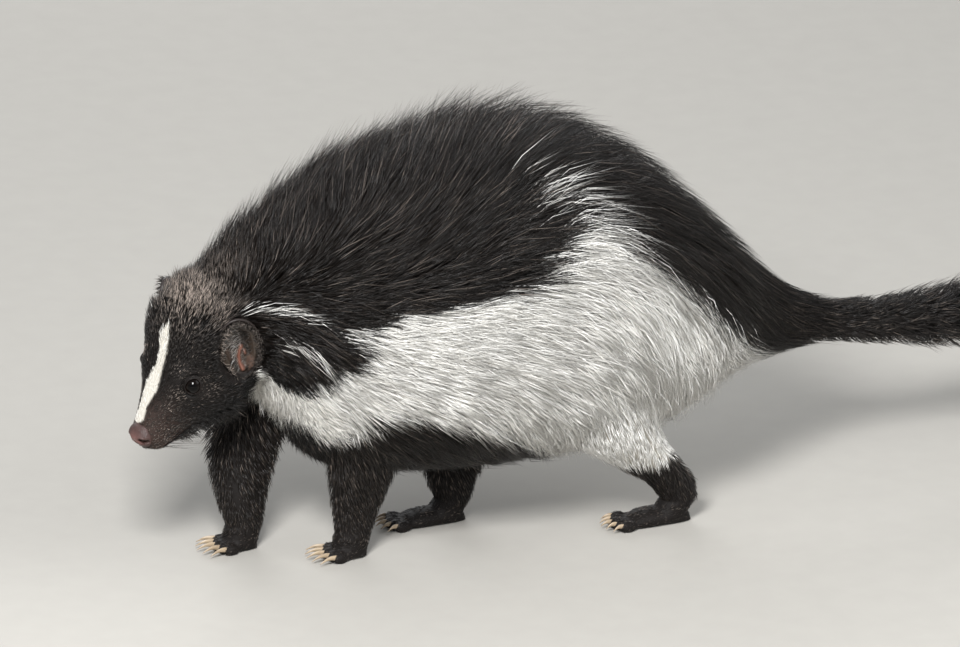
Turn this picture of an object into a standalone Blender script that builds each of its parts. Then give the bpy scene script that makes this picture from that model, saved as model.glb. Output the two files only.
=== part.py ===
"""Striped skunk, life size, walking slowly with its head low: the solid model.

The animal faces -Y and its left side is +X. It stands on z = 0. Sizes below are millimetres on the
animal and become metres in the meshes. One tube runs from the nose to the tail's tip; the nodes of
the head, neck, body and tail are lengths of it, parted by narrow gaps. Legs, feet, ears, eyes and
the nose pad are pieces of their own. Long coat stands on the tube as flat tapered locks.
"""
import math
import random

import bmesh
import bpy
import numpy as np
from mathutils import Matrix, Vector

MM = 0.001
GAP = 0.3  # clear space between pieces that touch
MIDDLE = (0.0, 175.0)  # x, y of the middle of the whole outline, which goes to the origin

# The head: where the nose tip is, and how the head is turned. Its sizes are in its own frame,
# whose x is left, y is back from the nose tip and z is up along the face.
NOSE_TIP = (18.0, -120.5, 78.0)
HEAD_TURN = (38.0, 8.0, 15.0)  # nose down, crown to the left, face to the left, in degrees
HEAD_SCALE = 1.05
MUZZLE_END = 34.0  # the rings lie closer ahead of here

# back, centre height, half width, up, down
HEAD_STATIONS = [
    (5.2, -0.6, 5.4, 4.8, 5.6),
    (8.2, -0.8, 7.4, 7.2, 7.8),
    (14.0, -0.4, 9.4, 10.4, 11.6),
    (22.0, 0.6, 12.6, 14.4, 14.8),
    (31.0, 2.2, 17.6, 18.6, 17.8),
    (40.0, 4.6, 22.6, 23.2, 21.0),
    (50.0, 7.4, 26.0, 27.4, 24.8),
    (60.0, 9.6, 28.0, 29.4, 27.8),
    (70.0, 11.4, 29.5, 29.5, 31.0),
]

# Swellings of the head: place (left, back, up), reach, height. Both sides get one.
SWELLINGS = {
    "brow": ((11.5, 34.0, 22.0), 8.0, 2.4),
    "eye_hollow": ((19.0, 29.0, 9.0), 6.0, -1.8),
    "cheek": ((25.0, 48.0, -4.0), 13.0, 3.0),
    "crown": ((23.0, 60.0, 28.0), 14.0, 4.2),
    "whisker_pad": ((9.0, 10.5, -4.0), 6.0, 1.9),
    "chin": ((0.0, 12.0, -11.5), 6.5, 1.4),
}

# The body: centre x, y, z, nose-up tilt, turn to the side, half width, up, down,
# then the depth of the coat above, at the side and below.
BODY_STATIONS = [
    (5.5, -50.0, 132.0, 22.0, 9.0, 34.0, 36.0, 48.0, 13.0, 12.0, 20.0),
    (3.5, -26.0, 122.0, 8.0, 5.0, 43.0, 56.0, 56.0, 26.0, 13.0, 13.0),
    (1.0, 2.0, 119.0, 2.0, 2.0, 50.0, 68.0, 62.0, 37.0, 15.0, 12.0),
    (0.0, 42.0, 120.0, 0.0, 0.0, 58.0, 73.0, 66.0, 42.0, 16.0, 13.0),
    (0.0, 90.0, 122.0, 0.0, 0.0, 62.0, 77.0, 66.0, 43.0, 18.0, 16.0),
    (0.0, 135.0, 122.0, 0.0, 0.0, 61.0, 69.0, 61.0, 40.0, 20.0, 19.0),
    (-1.0, 168.0, 118.0, -4.0, 1.0, 53.0, 53.0, 50.0, 36.0, 22.0, 21.0),
    (-2.0, 196.0, 111.0, -10.0, 4.0, 39.0, 34.0, 37.0, 30.0, 22.0, 22.0),
    (-4.0, 220.0, 104.0, -16.0, 6.0, 22.0, 20.0, 22.0, 23.0, 18.0, 20.0),
    (-6.0, 244.0, 97.5, -18.0, 8.0, 13.0, 13.0, 13.0, 13.0, 11.0, 12.0),
    (-9.0, 272.0, 92.0, -12.0, 9.0, 9.0, 9.0, 9.0, 6.0, 5.0, 5.0),
    (-15.0, 318.0, 85.0, -9.0, 10.0, 7.6, 7.6, 7.6, 7.0, 7.0, 7.0),
    (-25.0, 364.0, 78.0, -8.0, 13.0, 6.2, 6.2, 6.2, 14.0, 14.0, 14.0),
    (-36.0, 404.0, 72.0, -8.0, 16.0, 4.6, 4.6, 4.6, 21.0, 21.0, 21.0),
    (-45.0, 434.0, 68.0, -8.0, 17.0, 3.0, 3.0, 3.0, 20.0, 20.0, 20.0),
    (-52.0, 458.0, 65.0, -8.0, 17.0, 1.6, 1.6, 1.6, 12.0, 12.0, 12.0),
    (-55.0, 470.0, 63.5, -8.0, 17.0, 0.8, 0.8, 0.8, 4.0, 4.0, 4.0),
]
CORE_SHARE = 0.4  # how much of the coat's depth the solid core takes
FULLNESS = 2.25  # exponent of the body's sections: 2 is an ellipse

# Sides round a form, and segments and rings of its round pieces.
AROUND, HEAD_AROUND, LIMB_AROUND, SOLE_AROUND, CLAW_AROUND = 18, 24, 10, 10, 4
EYE_FACETS, NOSE_FACETS, NOSTRIL_FACETS = (12, 8), (14, 8), (8, 5)
EAR_FACETS, HOLLOW_FACETS, TOE_FACETS = (16, 10), (14, 8), (6, 4)
EYE_AT = (38.6, 30.6)  # how far back, and degrees up round the head from its side
EYE_RADIUS = 5.0
EYE_SUNK = 2.9
LID_RADIUS = 1.25
LID_STEPS, LID_SIDES = 12, 4
LID_RISE = 1.6  # of the lids' ring over the eye's middle
LID_SHAPE = (1.02, 0.86)  # how long and how high the ring is for the eye
NOSE_PAD = (0.0, 6.9, 1.5)
NOSE_PAD_SIZE = (7.2, 6.1, 4.6)  # half width, half height, half depth
NOSTRIL = (3.3, 0.6, 0.6)  # from the front of the pad
NOSTRIL_SIZE = (1.5, 2.6, 1.7)
EAR = (27.0, 68.0, 17.2)  # middle of the ear's mouth
EAR_FACING, EAR_UP = (0.84, -0.50, 0.22), (0.175, 0.294, 0.94)
EAR_SIZE = (11.5, 18.3, 9.0)  # half width, half height, depth of the cup
EAR_WALL = 1.7
EAR_CUT = 0.4  # how far the hollow's middle lies past the ear's mouth
# Mouth line of one side: how far back and how high.
MOUTH_LINE = [(5.6, -6.0), (7.2, -6.6), (9.8, -7.4), (14.0, -7.6), (20.0, -6.6), (25.5, -5.0), (29.0, -4.2)]
MOUTH_DEPTH = 2.0
MOUTH_OPEN = 0.8
LIP_RADIUS = 1.5

# Limbs, from the trunk down: x outwards, y, z, half width across, half width fore and aft.
# The last row is the ankle, where the foot begins.
FRONT_LIMB = {
    "left": [(33, -2, 100, 16, 24), (33, 4, 84, 17, 21), (28, 7, 63, 14.5, 18.5),
             (22, 6, 42, 11.5, 15), (18.5, 5, 25, 9.6, 11.5), (18, 4, 15, 8.8, 9.8)],
    "right": [(33, -12, 100, 16, 24), (31, -26, 84, 17, 22), (25, -41, 63, 14.5, 19),
              (18, -47, 42, 11.5, 15.5), (14.5, -48, 25, 9.6, 12), (14, -47, 15, 8.8, 9.8)],
}
HIND_LIMB = {
    "left": [(38, 146, 104, 20, 32), (42, 140, 86, 20, 29), (41, 143, 64, 17, 24),
             (34, 163, 42, 12.5, 17), (28, 182, 24, 9.5, 12), (26, 187, 14, 8.8, 9.8)],
    "right": [(38, 138, 104, 20, 32), (40, 118, 86, 20, 29), (34, 96, 64, 17, 25),
              (24, 80, 43, 13.5, 20), (17, 73, 26, 10, 14), (15.5, 73, 14, 9, 10)],
}
# Feet: the sole's length behind the toes, half width at the toes and at the heel, height of the
# instep, toe and claw lengths and thicknesses. The toes point forward.
FOOT = {
    "front": {"sole": 16.0, "wide": 10.5, "heel": 7.4, "toe": 8.0, "claw": 10.5, "spread": 14.0},
    "hind": {"sole": 37.0, "wide": 10.5, "heel": 7.2, "toe": 8.5, "claw": 6.5, "spread": 10.0},
}
HEEL_BEHIND = 7.0  # of the sole, behind the ankle
TOES = 5
TOE_RADIUS = 3.3
CLAW_RADIUS = 1.4
CLAW_ARCH = 0.9
CLAW_DROP = 1.6
INSTEP = 9.5  # height of the foot's back above the sole
FLAT_CUT = 1.0  # how much of the round sole the ground flat takes off

# Locks of the long coat. A row: from y, to y, spacing of the tiers, width and run of a lock, and
# how far it slants down the flank on its way, in degrees round the body.
LOCK_ROWS = {
    "neck": [(-54, -26, 15, 24, 34, 3)],
    "torso": [(-24, 60, 30, 28, 56, 6), (60, 150, 31, 30, 58, 10), (150, 206, 27, 28, 54, 14)],
    "tail_base": [(212, 256, 22, 21, 46, 4), (256, 288, 32, 11, 44, 2)],
    "tail_middle": [(296, 380, 28, 13, 54, 2)],
    "tail_tip": [(384, 450, 22, 14, 52, 0)],
}
LOCK_SINK = 3.5
LOCK_THICK = 2.8
LOCK_SHAPE = ((0.0, 0.7, 1.0), (0.36, 1.0, 1.0), (0.7, 0.62, 0.7))  # place on it, width, thickness
LOCK_RISE = 1.5
MAX_OVERHANG = 13.0  # how far a lock may reach past the end of its node
TAIL_HAIR = 8.0  # the tail's end is hair alone for this length
LOCK_STRAY = 0.2  # how far a lock strays from its tier, its size and its slant
LOCK_ROOM = 0.55  # room that a neighbouring node leaves round a lock
SEED = 12

DARK_FUR, SKIN, EYE_DARK = (0.02, 0.015, 0.013), (0.30, 0.17, 0.13), (0.01, 0.008, 0.007)
FUR_ROUGH, SKIN_ROUGH, EYE_ROUGH = 0.9, 0.6, 0.1


def spline(at, columns, where):
    """Smooth curve through rows of columns, given at the places at, read at the places where."""
    at, columns, where = (np.asarray(a, float) for a in (at, columns, where))
    slope = np.gradient(columns, at, axis=0)
    i = np.clip(np.searchsorted(at, where, "right") - 1, 0, len(at) - 2)
    span = (at[i + 1] - at[i])[..., None]
    t = (where - at[i])[..., None] / span
    return ((2 * t**3 - 3 * t**2 + 1) * columns[i] + (t**3 - 2 * t**2 + t) * span * slope[i]
            + (3 * t**2 - 2 * t**3) * columns[i + 1] + (t**3 - t**2) * span * slope[i + 1])


def head_matrix():
    pitch, roll, yaw = (math.radians(a) for a in HEAD_TURN)
    turn = (Matrix.Rotation(yaw, 4, "Z") @ Matrix.Rotation(pitch, 4, "X")
            @ Matrix.Rotation(roll, 4, "Y"))
    return Matrix.Translation(NOSE_TIP) @ turn @ Matrix.Scale(HEAD_SCALE, 4)


HEAD = head_matrix()


def all_stations():
    """Every ring of the tube as rows: centre, tilt, roll, turn, half width, up, down, coat."""
    pitch, roll, yaw = HEAD_TURN
    rows = []
    for back, height, wide, up, down in HEAD_STATIONS:
        centre = HEAD @ Vector((0, back, height))
        k = HEAD_SCALE
        rows.append((*centre, pitch, roll, yaw, wide * k, up * k, down * k, 0, 0, 0))
    for x, y, z, tilt, turn, wide, up, down, *coat in BODY_STATIONS:
        rows.append((x, y, z, tilt, 0, turn, wide, up, down, *coat))
    return np.array(rows, float)


STATIONS = all_stations()
STEPS = np.linalg.norm(np.diff(STATIONS[:, :3], axis=0), axis=1)
LENGTHS = np.concatenate([[0], np.cumsum(STEPS)])
HEAD_END = LENGTHS[len(HEAD_STATIONS) - 1]
TAIL_END = LENGTHS[-1]


def along_at(y):
    """Length along the tube where its centre passes y, behind the head."""
    return float(np.interp(y, STATIONS[len(HEAD_STATIONS):, 1], LENGTHS[len(HEAD_STATIONS):]))


def ring_frames(along):
    """Rows of sizes, and the left and up directions of the rings at these lengths."""
    rows = spline(LENGTHS, STATIONS, along)
    tilt, roll, turn = np.radians(rows[:, 3:6]).T
    left = np.stack([np.cos(roll), 0 * roll, -np.sin(roll)], 1)
    up = np.stack([np.sin(roll), 0 * roll, np.cos(roll)], 1)

    def turned(v):
        x, y, z = v.T
        y, z = y * np.cos(tilt) - z * np.sin(tilt), y * np.sin(tilt) + z * np.cos(tilt)
        x, y = x * np.cos(turn) - y * np.sin(turn), x * np.sin(turn) + y * np.cos(turn)
        return np.stack([x, y, z], 1)

    return rows, turned(left), turned(up)


def tube_point(along, angle, share=0.0, grow=0.0):
    """Points of the tube: angle 0 is the animal's left, and a quarter turn is its back line.

    share is how far out through the coat, and grow adds millimetres all round.
    """
    along, angle = np.broadcast_arrays(np.asarray(along, float), np.asarray(angle, float))
    rows, left, up = ring_frames(along.ravel())
    c, s = np.cos(angle.ravel()), np.sin(angle.ravel())
    wide, top, low, coat_up, coat_side, coat_down = rows[:, 6:12].T
    side = wide + share * coat_side + grow
    high = np.where(s > 0, top + share * coat_up, low + share * coat_down) + grow
    power = 2 / FULLNESS
    x = np.sign(c) * np.abs(c) ** power * side
    z = np.sign(s) * np.abs(s) ** power * high
    points = rows[:, :3] + left * x[:, None] + up * z[:, None]
    return points.reshape(*along.shape, 3)


def tube_normal(along, angle, share=0.0):
    """Direction out of the tube at these places."""
    step, turn = 2.0, 0.05
    d_along = tube_point(along + step, angle, share) - tube_point(along - step, angle, share)
    d_angle = tube_point(along, angle + turn, share) - tube_point(along, angle - turn, share)
    n = np.cross(d_along, d_angle)
    n /= np.linalg.norm(n, axis=-1, keepdims=True)
    return n


def mesh_object(name, points, faces):
    """A mesh object from points in millimetres."""
    mesh = bpy.data.meshes.new(name)
    mesh.from_pydata([tuple(p * MM for p in point) for point in points], [], faces)
    obj = bpy.data.objects.new(name, mesh)
    bpy.context.scene.collection.objects.link(obj)
    return obj


def outwards(obj):
    """Turns the faces of a closed mesh outwards."""
    bm = bmesh.new()
    bm.from_mesh(obj.data)
    bmesh.ops.recalc_face_normals(bm, faces=bm.faces)
    bm.to_mesh(obj.data)
    bm.free()
    return obj


def loft(name, rings):
    """A closed solid through rings of points that all have the same count."""
    rings = np.asarray(rings, float)
    count, sides = rings.shape[:2]
    faces = [tuple(range(sides))[::-1], tuple((count - 1) * sides + i for i in range(sides))]
    for r in range(count - 1):
        for i in range(sides):
            j = (i + 1) % sides
            a, b = r * sides, (r + 1) * sides
            faces.append((a + i, a + j, b + j, b + i))
    return outwards(mesh_object(name, rings.reshape(-1, 3), faces))


def tube_piece(name, start, end, spacing, share=CORE_SHARE, grow=0.0):
    """The length of the body tube between two places along it."""
    places = np.linspace(start, end, max(2, round((end - start) / spacing) + 1))
    angles = np.linspace(0, 2 * np.pi, AROUND, endpoint=False)
    return loft(name, tube_point(places[:, None], angles[None, :], share, grow))


def lock(along, angle, run, width, slant, tip_share, room=0.0):
    """One flat tapered lock of the coat: it rises out of the core and bends to lie along the body."""
    rings = []
    for t, wide, thick in LOCK_SHAPE:
        share = CORE_SHARE + (tip_share - CORE_SHARE) * (1 - (1 - t) ** LOCK_RISE)
        place, turn = along + run * t, angle + slant * t * t
        centre = tube_point(place, turn, share)
        across = tube_point(place, turn + 0.04, share) - tube_point(place, turn - 0.04, share)
        across /= np.linalg.norm(across)
        out = tube_normal(place, turn, share)
        if t == 0:
            centre = centre - out * LOCK_SINK
        w = across * (width * wide / 2 + 2 * room)
        ridge, under = out * (LOCK_THICK * thick + 2 * room), out * room
        rings.append([centre - under + w, centre + ridge, centre - under - w])
    tip = tube_point(along + run, angle + slant, tip_share)
    tip = tip + (tip - np.mean(rings[-1], axis=0)) * (0.15 if room else 0.0)
    points = [*np.concatenate(rings), tip]
    last, count = len(points) - 1, len(rings)
    faces = [(2, 1, 0)]
    for r in range(count - 1):
        a, b = 3 * r, 3 * r + 3
        faces += [(a + i, a + (i + 1) % 3, b + (i + 1) % 3, b + i) for i in range(3)]
    a = 3 * (count - 1)
    faces += [(a + i, a + (i + 1) % 3, last) for i in range(3)]
    return outwards(mesh_object("lock", points, faces))


def lock_plan(node, node_end):
    """Where the locks of a node grow: rows of along, angle, run, width, slant and tip share."""
    draw = random.Random(SEED + len(node))
    plan = []
    tier = 0
    for start, end, spacing, width, run, slant in LOCK_ROWS[node]:
        first, last = along_at(start), along_at(end)
        tiers = max(1, round((last - first) / spacing))
        for i in range(tiers):
            along = first + (i + 0.5) * (last - first) / tiers
            angles = np.linspace(0, 2 * np.pi, 72, endpoint=False)
            ring = tube_point(along, angles, CORE_SHARE)
            steps = np.linalg.norm(np.roll(ring, -1, 0) - ring, axis=1)
            arc = np.concatenate([[0], np.cumsum(steps)])
            count = max(5, round(arc[-1] / width))
            tier += 1
            for k in range(count):
                at = (k + 0.5 * (tier % 2) + draw.uniform(-1, 1) * LOCK_STRAY) / count % 1.0
                angle = float(np.interp(at * arc[-1], arc, np.append(angles, 2 * np.pi)))
                stray = draw.uniform(-1, 1) * LOCK_STRAY
                down = -math.cos(angle) * math.radians(slant) + math.radians(30 * stray)
                reach = run * (1 + stray)
                reach *= 1 - 0.25 * max(0.0, math.sin(angle))
                reach = min(reach, node_end + MAX_OVERHANG - along)
                plan.append((along + 1.3 * stray * spacing, angle, reach, width * (1 + stray), down,
                             1 + draw.uniform(-0.12, 0.04)))
    return plan


def apply_modifiers(obj):
    """Gives the object the mesh that its modifiers make."""
    graph = bpy.context.evaluated_depsgraph_get()
    mesh = bpy.data.meshes.new_from_object(obj.evaluated_get(graph))
    obj.modifiers.clear()
    old, obj.data = obj.data, mesh
    bpy.data.meshes.remove(old)


def boolean(obj, others, operation, solver="EXACT"):
    """Joins or cuts obj with all the others at once, and removes them."""
    if not others:
        return obj
    group = bpy.data.collections.new("operands")
    bpy.context.scene.collection.children.link(group)
    for other in others:
        group.objects.link(other)
    modifier = obj.modifiers.new("join", "BOOLEAN")
    modifier.operation = operation
    modifier.solver = solver
    modifier.operand_type = "COLLECTION"
    modifier.collection = group
    apply_modifiers(obj)
    for other in others:
        bpy.data.objects.remove(other)
    bpy.data.collections.remove(group)
    return obj


def keep_largest(obj):
    """Leaves only the largest closed surface of the mesh."""
    bm = bmesh.new()
    bm.from_mesh(obj.data)
    left, shells = set(bm.faces), []
    while left:
        shell, edge = set(), [left.pop()]
        while edge:
            face = edge.pop()
            shell.add(face)
            for e in face.edges:
                for other in e.link_faces:
                    if other in left:
                        left.discard(other)
                        edge.append(other)
        shells.append(shell)
    shells.sort(key=lambda s: -sum(f.calc_area() for f in s))
    loose = [f for s in shells[1:] for f in s]
    bmesh.ops.delete(bm, geom=loose, context="FACES")
    bmesh.ops.triangulate(bm, faces=bm.faces)
    bm.to_mesh(obj.data)
    bm.free()
    return obj


def ellipsoid(name, centre, radii, facets, turn=None, frame=None):
    """A stretched ball with this many segments and rings."""
    bm = bmesh.new()
    bmesh.ops.create_uvsphere(bm, u_segments=facets[0], v_segments=facets[1], radius=1.0)
    place = Matrix.Translation(centre) @ (turn or Matrix.Identity(4)) @ Matrix.Diagonal((*radii, 1))
    if frame is not None:
        place = frame @ place
    bmesh.ops.transform(bm, matrix=Matrix.Scale(MM, 4) @ place, verts=bm.verts)
    mesh = bpy.data.meshes.new(name)
    bm.to_mesh(mesh)
    bm.free()
    obj = bpy.data.objects.new(name, mesh)
    bpy.context.scene.collection.objects.link(obj)
    return obj


def grown(obj, amount=GAP):
    """A copy of a mesh with its faces moved out, to cut room for the piece in its neighbour."""
    bm = bmesh.new()
    bm.from_mesh(obj.data)
    bm.normal_update()
    moves = [v.normal * min(v.calc_shell_factor(), 2.5) for v in bm.verts]
    for vertex, move in zip(bm.verts, moves):
        vertex.co += move * amount * MM
    mesh = bpy.data.meshes.new("room")
    bm.to_mesh(mesh)
    bm.free()
    twin = bpy.data.objects.new(obj.name + "_room", mesh)
    bpy.context.scene.collection.objects.link(twin)
    return twin


def head_side(back, height):
    """Distance from the head's middle plane to its side at a place back and up, in its frame."""
    rows = np.array(HEAD_STATIONS)
    centre, wide, up, down = spline(rows[:, 0], rows[:, 1:], np.array([back]))[0]
    rise = height - centre
    share = min(1.0, abs(rise) / (up if rise > 0 else down))
    return wide * (1 - share**FULLNESS) ** (1 / FULLNESS)


def head_skin(back, degrees):
    """Point of the head's side in its frame, at an angle up from the side."""
    rows = np.array(HEAD_STATIONS)
    centre, wide, up, down = spline(rows[:, 0], rows[:, 1:], np.array([back]))[0]
    c, s = math.cos(math.radians(degrees)), math.sin(math.radians(degrees))
    power = 2 / FULLNESS
    return Vector((wide * c**power, back, centre + up * s**power))


def eye_place(side):
    """Centre of an eyeball and the way it looks, in the head's frame. side is 1 for the left."""
    back, degrees = EYE_AT
    skin = head_skin(back, degrees)
    along = head_skin(back + 2, degrees) - head_skin(back - 2, degrees)
    round_way = head_skin(back, degrees + 4) - head_skin(back, degrees - 4)
    out = along.cross(round_way).normalized()
    out *= -1 if out.x < 0 else 1
    centre = skin - out * EYE_SUNK
    mirror = Vector((side, 1, 1))
    return centre * mirror, out * mirror


def facing(direction, up=(0, 0, 1)):
    """Rotation that takes +Z to the direction and keeps +Y near up."""
    z = Vector(direction).normalized()
    x = Vector(up).cross(z).normalized()
    y = z.cross(x)
    return Matrix((x, y, z)).transposed().to_4x4()


def swell(points):
    """Moves head points, in the head's frame, out or in by the swellings near them."""
    middle = np.array([0.0, 35.0, 3.0])
    out = (points - middle) * [1.0, 0.35, 1.0]
    out /= np.linalg.norm(out, axis=1, keepdims=True) + 1e-9
    out *= np.clip((HEAD_STATIONS[-1][0] - points[:, 1]) / 10, 0, 1)[:, None]
    moved = points.copy()
    for (x, y, z), reach, height in SWELLINGS.values():
        for side in ((1, -1) if x else (1,)):
            far = np.linalg.norm(points - [side * x, y, z], axis=1) / reach
            moved += out * (height * np.exp(-far**2))[:, None]
    return moved


def head_solid():
    """The head: a tube of its own sections, swollen, with a rounded front behind the nose pad."""
    rows = np.array(HEAD_STATIONS)
    first, last = HEAD_STATIONS[0][0], HEAD_STATIONS[-1][0]
    places = np.concatenate([np.linspace(first, MUZZLE_END, 9), np.linspace(MUZZLE_END + 6, last, 5)])
    sections = spline(rows[:, 0], rows[:, 1:], places)
    angles = np.linspace(0, 2 * np.pi, HEAD_AROUND, endpoint=False)
    power = 2 / FULLNESS
    c, s = np.cos(angles), np.sin(angles)
    rings = []
    for back, (centre, wide, up, down) in zip(places, sections):
        x = np.sign(c) * np.abs(c) ** power * wide
        z = centre + np.sign(s) * np.abs(s) ** power * np.where(s > 0, up, down)
        rings.append(np.stack([x, np.full_like(x, back), z], 1))
    tip = rings[0] * [0.6, 1, 0.6] - [0, 1.4, 0.24]
    points = swell(np.concatenate([tip] + rings))
    placed = [HEAD @ Vector(p) for p in points]
    return loft("head", np.array(placed).reshape(len(rings) + 1, HEAD_AROUND, 3))


def tube_along(name, path, radius, sides=6, ends=0.35):
    """A round bar through the points of a path, thinner at its two ends."""
    path = [Vector(p) for p in path]
    rings = []
    for i, point in enumerate(path):
        ahead = path[min(i + 1, len(path) - 1)] - path[max(i - 1, 0)]
        turn = facing(ahead, up=(0.2, 0.1, 1))
        r = radius * (ends if i in (0, len(path) - 1) else 1)
        rings.append([point + turn @ Vector((r * math.cos(a), r * math.sin(a), 0))
                      for a in np.linspace(0, 2 * math.pi, sides, endpoint=False)])
    return loft(name, rings)


def mouth_path(outset):
    """The mouth line from the left corner round the front to the right corner."""
    half = [(head_side(b, h) + outset, b, h) for b, h in MOUTH_LINE]
    path = [*reversed(half), *((-x, y, z) for x, y, z in half)]
    return [HEAD @ Vector(p) for p in path]


def mouth_blade():
    """The thin cutter that opens the line of the mouth."""
    outer, inner = mouth_path(3.0), mouth_path(-MOUTH_DEPTH)
    up = (HEAD.to_3x3() @ Vector((0, 0, 1))).normalized() * MOUTH_OPEN / 2
    front = (HEAD.to_3x3() @ Vector((0, -1, 0))).normalized() * 4.0
    rings = []
    half = len(outer) // 2
    for i, (a, b) in enumerate(zip(outer, inner)):
        ahead = front if i in (half - 1, half) else Vector((0, 0, 0))
        rings.append([a + up + ahead, b + up, b - up, a - up + ahead])
    return loft("mouth_blade", rings)


def eyeball(side, grow=0.0):
    """The ball of an eye. grow makes it the room for itself in the head."""
    centre, _ = eye_place(side)
    r = EYE_RADIUS + grow
    return ellipsoid("eye_left" if side > 0 else "eye_right", centre, (r, r, r), EYE_FACETS, frame=HEAD)


def eyelids(side):
    """The rim of the lids: a ring on the skin round the eye, longer than high."""
    centre, out = eye_place(side)
    turn = facing(out)
    ring = math.sqrt(EYE_RADIUS**2 - LID_RISE**2)
    bm = bmesh.new()
    rings = []
    for a in np.linspace(0, 2 * math.pi, LID_STEPS, endpoint=False):
        spoke = Vector((math.cos(a) * LID_SHAPE[0], math.sin(a) * LID_SHAPE[1], 0))
        rings.append([centre + turn @ (spoke * (ring + LID_RADIUS * math.cos(b))
                                       + Vector((0, 0, LID_RISE + LID_RADIUS * math.sin(b))))
                      for b in np.linspace(0, 2 * math.pi, LID_SIDES, endpoint=False)])
    grid = [[bm.verts.new((HEAD @ p) * MM) for p in ring_points] for ring_points in rings]
    for i in range(LID_STEPS):
        for j in range(LID_SIDES):
            k, m = (i + 1) % LID_STEPS, (j + 1) % LID_SIDES
            bm.faces.new((grid[i][j], grid[k][j], grid[k][m], grid[i][m]))
    bmesh.ops.recalc_face_normals(bm, faces=bm.faces)
    mesh = bpy.data.meshes.new("lids")
    bm.to_mesh(mesh)
    bm.free()
    obj = bpy.data.objects.new("lids", mesh)
    bpy.context.scene.collection.objects.link(obj)
    return obj


def nose_pad(grow=0.0):
    """The bare nose pad before its nostrils are cut. grow makes it the room for itself."""
    size = [r + grow for r in NOSE_PAD_SIZE]
    return ellipsoid("nose", NOSE_PAD, size, NOSE_FACETS, Matrix.Rotation(math.radians(-90), 4, "X"), HEAD)


def nose():
    """The nose pad with its two nostrils."""
    pad = nose_pad()
    holes = []
    for side in (1, -1):
        x, y, z = NOSTRIL
        place = (NOSE_PAD[0] + side * x, NOSE_PAD[1] - NOSE_PAD_SIZE[2] + y, NOSE_PAD[2] + z)
        holes.append(ellipsoid("nostril", place, NOSTRIL_SIZE, NOSTRIL_FACETS, frame=HEAD))
    return keep_largest(boolean(pad, holes, "DIFFERENCE"))


def ear_ways(side):
    """Where the ear's mouth faces, and its up direction."""
    mirror = Vector((side, 1, 1))
    return Vector(EAR_FACING) * mirror, Vector(EAR_UP) * mirror


def ear_bowl(side, grow=0.0):
    """The solid half of an egg that the ear's cup is, its flat side to the front."""
    wide, tall, deep = (r + grow for r in EAR_SIZE)
    turn = facing(*ear_ways(side))
    bm = bmesh.new()
    bmesh.ops.create_uvsphere(bm, u_segments=EAR_FACETS[0], v_segments=EAR_FACETS[1], radius=1.0)
    mouth = (0, 0, 0.001 + 0.2 * grow)
    cut = bmesh.ops.bisect_plane(bm, geom=[*bm.verts, *bm.edges, *bm.faces], plane_co=mouth,
                                 plane_no=(0, 0, 1), clear_outer=True)
    rim = [e for e in cut["geom_cut"] if isinstance(e, bmesh.types.BMEdge)]
    bmesh.ops.contextual_create(bm, geom=rim)
    place = Vector(EAR) * Vector((side, 1, 1))
    matrix = HEAD @ Matrix.Translation(place) @ turn @ Matrix.Diagonal((wide, tall, deep, 1))
    bmesh.ops.transform(bm, matrix=Matrix.Scale(MM, 4) @ matrix, verts=bm.verts)
    bmesh.ops.recalc_face_normals(bm, faces=bm.faces)
    name = "ear_left" if side > 0 else "ear_right"
    mesh = bpy.data.meshes.new(name)
    bm.to_mesh(mesh)
    bm.free()
    obj = bpy.data.objects.new(name, mesh)
    bpy.context.scene.collection.objects.link(obj)
    return obj


def ear(side):
    """The ear: a cup with an even wall."""
    bowl = ear_bowl(side)
    facing_way, up = ear_ways(side)
    place = Vector(EAR) * Vector((side, 1, 1)) + facing_way.normalized() * EAR_CUT
    inner = [r - EAR_WALL for r in EAR_SIZE]
    hollow = ellipsoid("hollow", place, inner, HOLLOW_FACETS, facing(facing_way, up), HEAD)
    return keep_largest(boolean(bowl, [hollow], "DIFFERENCE"))


def limb(name, rows):
    """A leg from inside the trunk to the ankle, through level oval sections."""
    rows = np.array(rows, float)
    sign = -1 if name.endswith("right") else 1
    down = np.concatenate([[0], np.cumsum(-np.diff(rows[:, 2]))])
    places = np.linspace(0, down[-1], 9)
    read = spline(down, rows, places)
    read[-1, 2] += GAP / 2
    angles = np.linspace(0, 2 * np.pi, LIMB_AROUND, endpoint=False)
    rings = [[(sign * x + wide * math.cos(a), y + long * math.sin(a), z) for a in angles]
             for x, y, z, wide, long in read]
    return loft(name, rings)


def claw(root, direction, length, radius):
    """A curved claw: it leaves the toe a little upwards and bends down to its tip."""
    direction = Vector(direction).normalized()
    side = direction.cross(Vector((0, 0, 1))).normalized()
    up = side.cross(direction)
    rings = []
    for t in (0.0, 0.5, 1.0):
        lift = CLAW_ARCH * math.sin(math.pi * t) - CLAW_DROP * t * t
        middle = Vector(root) + direction * length * t + Vector((0, 0, lift))
        r = radius * max(1 - t, 0.02) ** 0.7
        rings.append([middle + side * (r * 0.75 * math.cos(a)) + up * (r * 1.15 * math.sin(a))
                      for a in np.linspace(0, 2 * math.pi, CLAW_AROUND, endpoint=False)])
    return loft("claw", rings)


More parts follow.
